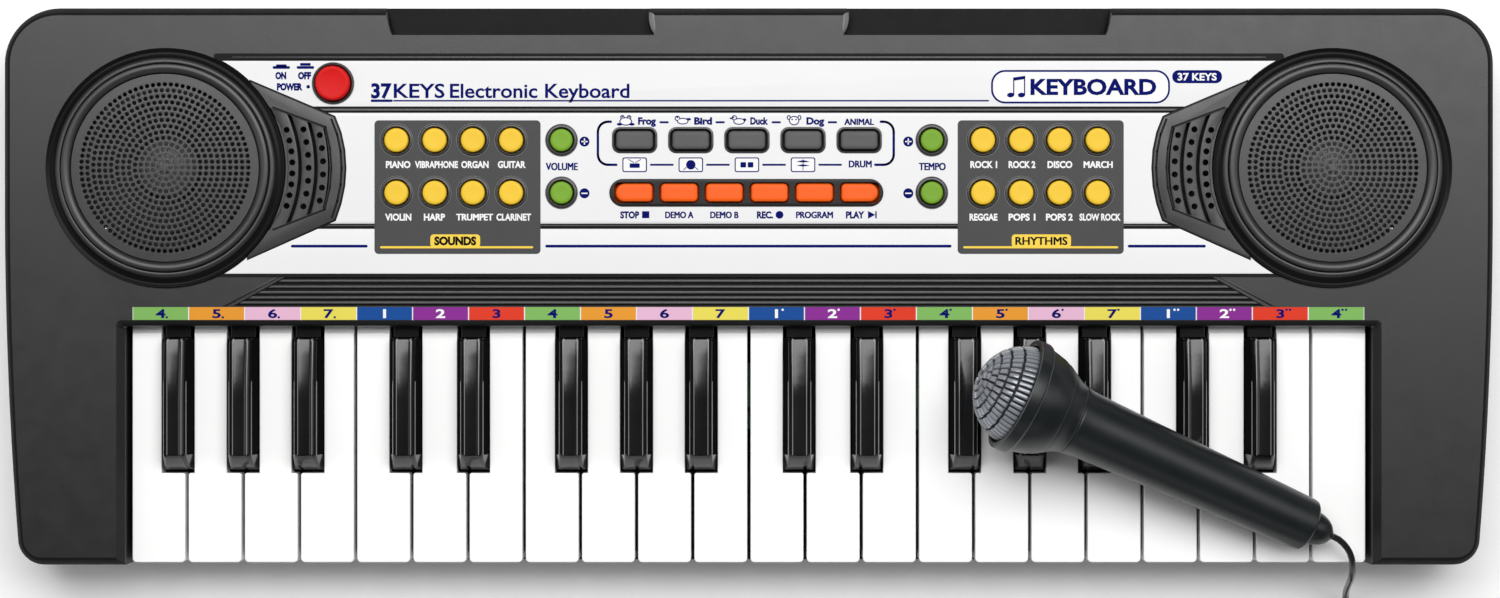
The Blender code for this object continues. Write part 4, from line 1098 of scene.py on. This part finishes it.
def make_animal(dark, light, x, y, kind, z):
    """A plain small animal mark, drawn as an outline: dark shapes with light ones inside them."""
    shapes = (
        ((0, -0.3, 2.3, 1.5), (-1.2, 1.2, 0.8, 0.8), (1.2, 1.2, 0.8, 0.8), (-2.2, -1.3, 1.0, 0.5), (2.2, -1.3, 1.0, 0.5)),
        ((0.3, -0.2, 2.1, 1.2), (-1.6, 0.8, 1.0, 0.95), (2.4, 0.5, 0.9, 0.45)),
        ((0.4, -0.3, 2.1, 1.2), (-1.3, 1.0, 0.95, 0.95), (-2.4, 0.8, 0.6, 0.3), (2.3, 0.3, 0.7, 0.5)),
        ((0, 0, 1.9, 1.7), (-1.9, 1.1, 0.7, 0.9), (1.9, 1.1, 0.7, 0.9), (0, -0.9, 0.9, 0.6)))[kind]
    for bm, shrink, rise in ((dark, 0.0, 0.0), (light, 0.38, 0.04)):
        for index, (cx, cy, rx, ry) in enumerate(shapes):
            if min(rx, ry) - shrink > 0.12:
                points = [(x + cx + (rx - shrink) * cos(a), y + cy + (ry - shrink) * sin(a))
                          for a in [2 * pi * i / 20 for i in range(20)]]
                prism(bm, points, (z[0], z[1] + rise + 0.002 * index))
    eyes = ((-1.2, 1.3), (1.2, 1.3)) if kind == 0 else ((-0.7, 0.4), (0.7, 0.4)) if kind == 3 else ((-1.6, 1.1),)
    for ex, ey in eyes:
        prism(dark, arc(x + ex, y + ey, 0.3, 0, 324, 9), (z[0], z[1] + 0.08))


def make_instrument(bm, x, y, kind, z):
    """A small drum mark for a pad: a side drum, a bass drum, a tom or cymbals."""
    def shape(points):
        prism(bm, [(x + px_, y + py_) for px_, py_ in points], z)

    if kind == 0:
        shape(rounded(0, -0.3, 3.6, 1.6, 0.3, 3))
        line(bm, [(x - 2.2, y + 1.9), (x - 0.3, y + 0.8)], 0.25, z)
        line(bm, [(x + 2.2, y + 1.9), (x + 0.3, y + 0.8)], 0.25, z)
    elif kind == 1:
        shape(arc(0, 0, 1.7, 0, 345, 23))
        line(bm, [(x - 2.6, y - 1.8), (x - 1.6, y - 0.9)], 0.25, z)
        line(bm, [(x + 2.6, y - 1.8), (x + 1.6, y - 0.9)], 0.25, z)
    elif kind == 2:
        shape(rounded(-1.3, 0.0, 2.0, 1.9, 0.3, 3))
        shape(rounded(1.3, 0.0, 2.0, 1.9, 0.3, 3))
    else:
        shape([(-2.4, 1.1), (0, 1.7), (2.4, 1.1), (0, 0.8)])
        shape([(-2.4, -0.3), (0, 0.2), (2.4, -0.3), (0, -0.6)])
        line(bm, [(x, y + 1.9), (x, y - 1.9)], 0.25, z)


make_print()


# ---------------------------------------------------------------- speakers and vents

def perforated(bm, pitch, rings, height, thick, sides=8):
    """A domed disc made of cells, each with a round hole through it."""
    hole = 0.82
    for k in range(1, rings + 1):
        count = max(6, round(2 * pi * k))
        inner, outer = (k - 0.5) * pitch, (k + 0.5) * pitch
        for n in range(count):
            middle = 2 * pi * n / count
            half = pi / count

            def at(radius, angle, drop=0.0):
                return bm.verts.new((radius * cos(angle), radius * sin(angle), height(radius) - drop))

            ring = [(outer, middle + half), (outer, middle), (outer, middle - half), (k * pitch, middle - half),
                    (inner, middle - half), (inner, middle), (inner, middle + half), (k * pitch, middle + half)]
            rim = [at(*point) for point in ring]
            centre = Vector((k * pitch * cos(middle), k * pitch * sin(middle)))
            edge, low = [], []
            for radius, angle in ring:
                away = (Vector((radius * cos(angle), radius * sin(angle))) - centre).normalized() * hole
                spot = centre + away
                edge.append(bm.verts.new((spot.x, spot.y, height(spot.length) - 0.02)))
                low.append(bm.verts.new((spot.x, spot.y, height(spot.length) - thick)))
            for i in range(8):
                j = (i + 1) % 8
                bm.faces.new((rim[i], rim[j], edge[j], edge[i]))
                bm.faces.new((edge[i], edge[j], low[j], low[i]))
    bmesh.ops.remove_doubles(bm, verts=bm.verts, dist=0.0004)


def make_speakers():
    """On each side a rolled ring, a bright bezel, a finely perforated disc and the driver seen through it."""
    pitch = 2.13

    def height(radius):
        return 46.75 - 0.55 * (radius / 33.8) ** 2

    for side, name in both_sides():
        place = Matrix.Translation((side * SPEAKER.x, SPEAKER.y, 0))
        bm = bmesh.new()
        perforated(bm, pitch, 14, height, 1.0)
        edge = 14.5 * pitch
        lathe(bm, [(edge, height(edge)), (33.55, height(33.55)), (33.6, 45.6), (33.6, 44.6), (33.2, 44.6)], 88)
        lathe(bm, [(0, height(0)), (0.5 * pitch, height(1.0))], 6)
        bmesh.ops.remove_doubles(bm, verts=bm.verts, dist=0.0004)
        bezel = [(33.85, 44.4), (33.85, 46.5), (34.0, 46.95), (34.6, 47.4), (35.4, 47.7), (36.3, 47.75),
                 (36.9, 47.5), (37.2, 46.9), (37.25, 45.9), (37.25, 44.5), (33.85, 44.4)]
        lathe(bm, bezel, 128)
        lip = [(37.5, 44.2), (37.5, 46.2), (37.65, 46.5), (38.1, 46.6), (38.7, 46.45), (39.2, 46.1), (39.4, 45.8),
               (39.4, 44.2), (37.5, 44.2)]
        lathe(bm, lip, 128)
        # the groove takes the painted shade material, so it reads as a dark channel
        groove = [(39.4, 44.2), (39.4, 45.8), (40.0, 45.4), (40.8, 45.1), (41.4, 45.0), (41.9, 45.1), (42.3, 45.35),
                  (42.65, 45.45), (42.85, 45.2), (42.95, 44.7), (42.95, 44.1), (39.4, 44.2)]
        lathe(bm, groove, 128, material=1)
        bmesh.ops.transform(bm, matrix=place, verts=bm.verts)
        piece(f"{name}_grille", bm, [GRILLE, GROOVE_PAINTED_SHADE], replaces=(f"{name}_speaker_grille",),
              smooth=40)
        bm = bmesh.new()
        profile = [(0, 42.3), (3.5, 42.15), (6.5, 41.7), (9.3, 40.8), (10.6, 39.2), (10.8, 36.0)]
        lathe(bm, profile, 48, place, 2)
        cone = [(10.8, 36.0), (14, 37.4), (20, 39.6), (25.5, 41.2), (26.4, 42.0), (28, 42.5), (29.6, 42.0), (30.3, 41.2),
                (32.3, 41.2), (32.5, 40.4), (32.5, 38.6), (28, 37.5), (18, 28), (18, 20), (0, 20)]
        lathe(bm, cone, 72, place, 0)
        for turn in range(4):
            angle = pi / 4 + turn * pi / 2
            spot = Matrix.Translation((side * SPEAKER.x + 31.2 * cos(angle), SPEAKER.y + 31.2 * sin(angle), 0))
            lathe(bm, [(0, 41.9), (1.0, 41.8), (1.5, 41.3), (1.5, 41.0), (0, 41.0)], 16, spot, 1)
        piece(f"{name}_driver", bm, [CONE, NICKEL, DUST_CAP], replaces=(f"{name}_speaker",), smooth=40)


def sector(bm, inner, outer, spread, z, side, bevel=0.0):
    """A curved slat about a speaker's middle."""
    points = arc(0, 0, outer, -spread, spread, 24) + arc(0, 0, inner, spread, -spread, 24)
    prism(bm, [(side * (SPEAKER.x - x), SPEAKER.y + y) for x, y in points], z, bevel)


def make_vents():
    """Beside each speaker a framed vent with three curved, drilled slats."""
    for side, name in both_sides():
        bm = bmesh.new()
        prism(bm, vent_frame(side), (DECK + 0.02, DECK + 1.45), 0.4, 3)
        window = bmesh.new()
        prism(window, vent_window(side), (DECK - 1, DECK + 3))
        circle = bmesh.new()
        prism(circle, arc(side * SPEAKER.x, SPEAKER.y, 43.15, 0, 357.5, 143), (DECK - 1, DECK + 3))
        bm = carve(bm, ("DIFFERENCE", window), ("DIFFERENCE", circle))
        slats = bmesh.new()
        for inner, outer in ((43.2, 47.6), (48.7, 53.3), (54.4, 58.2)):
            sector(slats, inner, outer, 33, (DECK - 0.9, DECK + 1.0), side, 0.3)
        limit = bmesh.new()
        inside = [(34.5, 23.4), (57.6, 14.9), (59.4, 7.0), (59.8, 0.0), (59.4, -7.0), (57.3, -15.4), (35.0, -23.8)]
        prism(limit, [(side * (SPEAKER.x - x), SPEAKER.y + y) for x, y in inside], (DECK - 2, DECK + 3))
        holes = bmesh.new()
        for radius, count, reach in ((45.4, 8, 17.4), (51.2, 7, 15.6), (56.4, 6, 12.0)):
            for n in range(count):
                angle = radians(reach * (2 * n / (count - 1) - 1))
                x, y = radius * cos(angle), radius * sin(angle)
                prism(holes, arc(side * (SPEAKER.x - x), SPEAKER.y + y, 1.12, 0, 337.5, 15), (DECK - 2, DECK + 3))
        slats = carve(slats, ("INTERSECT", limit), ("DIFFERENCE", holes))
        mesh = bpy.data.meshes.new("slats")
        slats.to_mesh(mesh)
        slats.free()
        bm.from_mesh(mesh)
        bpy.data.meshes.remove(mesh)
        line(bm, vent_frame(side, -1.2)[1:-1], 0.8, (DECK + 1.38, DECK + 1.5), 1)
        rim = [(38.6, 21.6), (57.3, 14.6), (58.9, 7.1), (59.4, 0.0), (58.9, -7.1), (57.0, -14.9), (38.6, -22.1)]
        line(bm, [(side * (SPEAKER.x - x), SPEAKER.y + y) for x, y in rim], 0.7, (DECK + 1.38, DECK + 1.5), 1)
        piece(f"{name}_vent", bm, [GRILLE, CASE_DARK], smooth=30)
        # a near-black sheet under each vent's openings, a painted shade for the dark inside
        ground = bmesh.new()
        prism(ground, vent_frame(side, -1.5), (DECK - 5.5, DECK - 5.0))
        piece(f"{name}_vent_painted_shade_ground", ground, FOAM_AND_PAINTED_SHADE)


def make_labels():
    """The strip of coloured note labels behind the keys, with numbers and octave dots."""
    notes = ["4", "5", "6", "7"] + list("1234567") * 2 + ["1", "2", "3", "4"]
    low_octave, high_octave = range(0, 4), range(11, 22)
    left, right, front, rear = -220.6, 220.3, -12.0, -7.4
    pitch = (right - left) / len(notes)
    keys = sorted(NOTE_INKS)
    bm = bmesh.new()
    for index, note in enumerate(notes):
        x = left + pitch * index
        prism(bm, rounded(x + pitch / 2, (front + rear) / 2, pitch - 0.4, rear - front, 0.15, 2),
              (DECK - 0.01, DECK + 0.12), 0.04, 1, keys.index(note))
    piece("note_labels", bm, [NOTE_INKS[key] for key in keys])
    bm = bmesh.new()
    prism(bm, rounded((left + right) / 2, (front + rear) / 2, right - left, rear - front, 0.15, 2),
          (DECK - 0.01, DECK + 0.06))
    piece("label_paper", bm, PANEL)
    white, dark = bmesh.new(), bmesh.new()
    z = (DECK + 0.1, DECK + 0.16)
    for index, note in enumerate(notes):
        x = left + pitch * (index + 0.5)
        bm = white if note in "12" else dark
        write(bm, note, x, (front + rear) / 2, 3.0, z, bold=0.03, spread=1.6)
        if index in low_octave:
            prism(bm, arc(x + 2.2, front + 0.95, 0.42, 0, 345, 15), z)
        elif index in high_octave:
            prism(bm, arc(x + 2.2, rear - 0.95, 0.42, 0, 345, 15), z)
            if index > 17:
                prism(bm, arc(x + 3.5, rear - 0.95, 0.42, 0, 345, 15), z)
    piece("label_white_numbers", white, WHITE_INK)
    piece("label_dark_numbers", dark, NAVY)


make_speakers()
make_vents()
make_labels()


# ---------------------------------------------------------------- keys

WHITE_PITCH = 20.25
KEY_FRONT = mm_box(WHITES[0])[0].y
KEY_REAR = mm_box(WHITES[0])[1].y
NOTCH = 5.9
BLACK_FRONT = mm_box(BLACKS[0])[0].y
BLACK_MIDDLES = [(mm_box(name)[0].x + mm_box(name)[1].x) / 2 for name in BLACKS]


REAR_STEP = -16.7


def make_white_keys():
    """The white keys: thick plates with rounded fronts, notched beside the black keys, with a skirt and a stop."""
    for index, name in enumerate(WHITES):
        left = WHITE_PITCH * (index - len(WHITES) / 2) + 0.6
        right = left + WHITE_PITCH - 1.2
        tail_left, tail_right = left, right
        for middle in BLACK_MIDDLES:
            if abs(middle - left) < 8:
                tail_left = middle + NOTCH
            if abs(middle - right) < 8:
                tail_right = middle - NOTCH
        shoulder = BLACK_FRONT - 0.6
        outline = arc(left + 1.5, KEY_FRONT + 1.5, 1.5, 180, 270, 6) + arc(right - 1.5, KEY_FRONT + 1.5, 1.5, 270, 360, 6)
        if tail_right != right:
            outline += [(right, shoulder - 0.5), (right - 0.5, shoulder), (tail_right, shoulder)]
        outline += [(tail_right, REAR_STEP), (tail_left, REAR_STEP)]
        if tail_left != left:
            outline += [(tail_left, shoulder), (left + 0.5, shoulder), (left, shoulder - 0.5)]
        bm = bmesh.new()
        prism(bm, outline, (27.0, WHITE_TOP), 0.4, 4)
        front = arc(left + 1.5, KEY_FRONT + 1.5, 1.5, 180, 270, 6) + arc(right - 1.5, KEY_FRONT + 1.5, 1.5, 270, 360, 6)
        prism(bm, front + [(right, KEY_FRONT + 3.0), (left, KEY_FRONT + 3.0)], (20.7, 27.2))
        for x in (left + 4.5, right - 4.5):
            box(bm, (x - 0.6, KEY_FRONT + 2.8, 21.5), (x + 0.6, KEY_FRONT + 24.0, 27.2), 0.2, 1)
        # the lowered rear of each key is in the painted shade material
        box(bm, (tail_left, REAR_STEP - 0.2, 27.1), (tail_right, KEY_REAR, WHITE_TOP - 1.1), material=1)
        piece(name + "_key", bm, [IVORY, IVORY_PAINTED_SHADE], f"{name}_body", (name,), smooth=35, weighted=True)


def make_black_keys():
    """The black keys: sloping sides, a narrow double edge and a dished top that slopes away at the front."""
    section = [(5.5, 27.0), (5.5, 36.0), (5.35, 37.2), (4.15, 43.0), (3.92, 43.7), (3.55, 44.15), (2.95, 44.68),
               (2.65, 44.92), (2.35, 44.97), (1.9, 44.84), (1.2, 44.66), (0.0, 44.58)]
    half = section + [(-x, z) for x, z in reversed(section[:-1])]
    low = 27.0
    stations = [(-18.6, 0.18), (-18.9, 0.085), (-19.6, 0.068), (-25.0, 0.046), (-30.0, 0.026), (-34.0, 0.011),
                (-37.0, 0.003), (-40.0, 0.0), (-59.9, 0.0), (-60.4, 0.006), (-61.0, 0.035), (-62.0, 0.11),
                (-63.4, 0.235), (-64.6, 0.345), (-65.1, 0.41), (-65.7, 0.53), (-66.15, 0.68), (-66.4, 0.84),
                (-66.5, 0.98)]
    for name, middle in zip(BLACKS, BLACK_MIDDLES):
        rings = []
        for y, drop in stations:
            ring = []
            for x, z in half:
                height = low + (z - low) * (1 - drop)
                wide = x + ((5.3 if x > 0 else -5.3) * min(1.0, abs(x) / 2.5) - x) * drop if x else 0.0
                if abs(x) > 5.3:
                    wide = x * (1 - 0.04 * drop)
                ring.append((middle + wide, y, height))
            rings.append(ring)
        bm = bmesh.new()
        loft(bm, rings)
        bmesh.ops.recalc_face_normals(bm, faces=bm.faces)
        for face in bm.faces:
            spot = face.calc_center_median()
            reach = abs(spot.x - middle)
            if face.normal.z < 0.62 and spot.y > -60.5:
                face.material_index = 1
            # the narrow double edge gets the painted highlight
            if spot.y > -60.5 and (3.9 < reach < 4.05 or 2.3 < reach < 2.66):
                face.material_index = 2
        box(bm, (middle - 4.5, -18.5, 27.6), (middle + 4.5, KEY_REAR, 35.0), 0.3, 2)
        piece(name + "_key", bm, [EBONY, EBONY_SIDE, EBONY_PAINTED_HIGHLIGHT], f"{name}_body", (name,), smooth=28,
              weighted=True)


make_white_keys()
make_black_keys()


# ---------------------------------------------------------------- microphone

MIC_COLLAR = Vector((96.8, -39.1, 66.1))
MIC_TURN = radians(-24.2)
MIC_TILT = radians(9.6)
MIC_LENGTH = 115.0
MIC_KNOB = 9.0
BALL = 18.1
RING = 20.7


def mic_matrix():
    """The microphone's own frame: its Z runs from the ball's middle to the tail."""
    along = Vector((cos(MIC_TURN) * cos(MIC_TILT), sin(MIC_TURN) * cos(MIC_TILT), -sin(MIC_TILT)))
    turn = Vector((0, 0, 1)).rotation_difference(along).to_matrix().to_4x4()
    return Matrix.Translation(MIC_COLLAR) @ turn


def lattice_block(bm, turn, rise, outer, inner, material=0):
    """One raised block of the head, a patch of a sphere between two turns and two rises."""
    (turn_a, turn_b), (rise_a, rise_b) = turn, rise

    def patch(radius, shrink):
        mid_t, mid_r = (turn_a + turn_b) / 2, (rise_a + rise_b) / 2
        along = max(0.05, 1 - 2 * shrink / (radius * cos(mid_r) * (turn_b - turn_a)))
        up = max(0.05, 1 - 2 * shrink / (radius * (rise_b - rise_a)))
        points = []
        loop = [(-1, -1), (0, -1), (1, -1), (1, 0), (1, 1), (0, 1), (-1, 1), (-1, 0)]
        for i, j in loop:
            t = mid_t + i * (turn_b - turn_a) / 2 * along
            r = mid_r + j * (rise_b - rise_a) / 2 * up
            points.append(bm.verts.new((radius * cos(r) * cos(t), radius * cos(r) * sin(t), -radius * sin(r))))
        return points

    loops = [patch(inner, 0.0), patch(outer - 0.38, 0.0), patch(outer - 0.10, 0.12), patch(outer, 0.42)]
    for a, b in zip(loops, loops[1:]):
        for i in range(8):
            j = (i + 1) % 8
            bm.faces.new((a[i], a[j], b[j], b[i])).material_index = material
    bm.faces.new(loops[-1]).material_index = material


def make_microphone():
    """The blocky silver head over dark foam, and the collar, cone, ringed neck and tapered handle."""
    place = mic_matrix()
    bm = bmesh.new()
    gap = 0.72
    rise = 0.165
    row = 0
    for long, wide in ((0.28, 2.1), (0.22, 2.2), (0.18, 2.4), (0.14, 2.7), (0.115, 2.9), (0.10, 3.0)):
        radius = BALL * cos(rise + long / 2)
        count = max(6, round(2 * pi * radius / wide))
        width = 2 * pi / count
        shift = width / 2 * (row % 2)
        edge = gap / 2 / radius
        for n in range(count):
            nudge = 0.035 * (n % 2) if row < 3 else 0.0
            lattice_block(bm, (shift + n * width + edge, shift + (n + 1) * width - edge),
                          (rise + nudge * 0.3, rise + long - 0.3 * nudge), BALL, BALL - 1.0)
        rise += long + gap / BALL
        row += 1
    lathe(bm, [(0, -BALL + 0.02), (0.7, -BALL + 0.1), (1.1, -BALL + 0.4), (1.2, -BALL + 1.2)], 12)
    foam = [(0, -BALL + 1.0)] + [((BALL - 1.0) * cos(radians(a)), -(BALL - 1.0) * sin(radians(a)))
                                 for a in range(85, -1, -5)] + [(0, 0)]
    lathe(bm, foam, 64, material=1)
    bmesh.ops.transform(bm, matrix=place, verts=bm.verts)
    piece("mic_head", bm, [SILVER, FOAM_AND_PAINTED_SHADE], "microphone", ("mic_head_grille",), smooth=40)

    end = MIC_LENGTH
    body = [(0, -1.0), (18.3, -1.0), (18.5, -3.3), (18.9, -3.7), (20.0, -3.7), (RING - 0.2, -3.2), (RING - 0.04, -1.2),
            (RING - 0.06, 0.6), (RING - 0.3, 1.1), (RING - 0.9, 1.25), (19.3, 1.5), (19.25, 3.0), (18.95, 4.6),
            (18.6, 6.0), (18.05, 8.0), (17.35, 9.5), (17.0, 10.6), (16.2, 12.0), (15.95, 12.15), (15.6, 13.0),
            (14.6, 14.6), (13.7, 16.2), (13.1, 17.7), (12.9, 18.5),
            (12.6, 18.7), (12.55, 19.2), (12.7, 19.5), (12.5, 20.6), (12.2, 22.0), (12.0, 24.0), (11.85, 28.0),
            (11.65, 34.0), (11.45, 42.0), (11.2, 50.0), (10.6, 75.0), (10.0, 100.0), (9.6, end - 2.4), (9.3, end - 1.0), (8.4, end - 0.25),
            (7.4, end), (6.4, end), (6.3, end + 0.4)]
    body += [(6.1 * cos(radians(a)), end + 0.5 + (MIC_KNOB - 0.5) * sin(radians(a))) for a in range(0, 80, 10)]
    body += [(1.9, end + MIC_KNOB - 0.25), (1.55, end + MIC_KNOB), (0, end + MIC_KNOB)]
    bm = bmesh.new()
    lathe(bm, body, 96)
    # thin beads on the rings in the painted highlight material
    for z, radius, wide in ((-3.3, RING - 0.3, 0.2), (1.1, RING - 0.4, 0.22), (12.1, 15.95, 0.12), (18.4, 12.85, 0.14)):
        lathe(bm, [(radius, z - wide), (radius + 0.12, z), (radius, z + wide)], 96, material=1)
    bmesh.ops.transform(bm, matrix=place, verts=bm.verts)
    piece("mic_handle", bm, [MIC, MIC_RING_PAINTED_HIGHLIGHT], "microphone", ("mic_body",), smooth=24)


make_microphone()


# ---------------------------------------------------------------- inside

def dress(node, material):
    """Gives a carried-over CAD node its look."""
    obj = bpy.data.objects[node]
    obj.data.materials.clear()
    obj.data.materials.append(material)


dress("main_board", BOARD)
dress("key_contact_board", BOARD)
dress("key_frame", CASE_DARK)


# ---------------------------------------------------------------- room and light

FLOOR = surface("studio_floor", (0.97, 0.97, 0.97), 0.6, 0.008, 60, 0.02)
FLOOR.node_tree.nodes["Principled BSDF"].inputs["Emission Color"].default_value = (1.0, 1.0, 1.0, 1.0)
FLOOR.node_tree.nodes["Principled BSDF"].inputs["Emission Strength"].default_value = 0.05


def make_room():
    """A pale floor that reaches far out, and plain soft light from above and behind."""
    mesh = bpy.data.meshes.new("floor")
    bm = bmesh.new()
    bmesh.ops.create_grid(bm, x_segments=8, y_segments=8, size=6.0)
    bm.to_mesh(mesh)
    bm.free()
    mesh.materials.append(FLOOR)
    floor = bpy.data.objects.new("floor", mesh)
    bpy.context.scene.collection.objects.link(floor)

    world = bpy.data.worlds.new("studio")
    bpy.context.scene.world = world
    world.use_nodes = True
    world.node_tree.nodes["Background"].inputs["Color"].default_value = (1.0, 1.0, 1.0, 1.0)
    world.node_tree.nodes["Background"].inputs["Strength"].default_value = 0.06

    for name, place, aim, size, power in (
            ("rear_softbox", (0.06, 0.62, 1.58), (0.0, 0.0, 0.0), (1.9, 0.95), 34.8),
            ("left_softbox", (-1.5, -0.1, 1.1), (0.0, 0.0, 0.0), (0.8, 1.2), 4.5),
            ("right_softbox", (1.5, 0.1, 1.1), (0.0, 0.0, 0.0), (0.8, 1.2), 4.5),
            ("front_softbox", (0.0, -1.5, 0.8), (0.0, 0.0, 0.0), (1.6, 0.6), 1.8)):
        data = bpy.data.lights.new(name, "AREA")
        data.shape = "RECTANGLE"
        data.size, data.size_y = size
        data.energy = power
        lamp = bpy.data.objects.new(name, data)
        lamp.location = place
        lamp.rotation_euler = (Vector(place) - Vector(aim)).to_track_quat("Z", "Y").to_euler()
        bpy.context.scene.collection.objects.link(lamp)


make_room()
bpy.context.scene.view_settings.view_transform = "Standard"
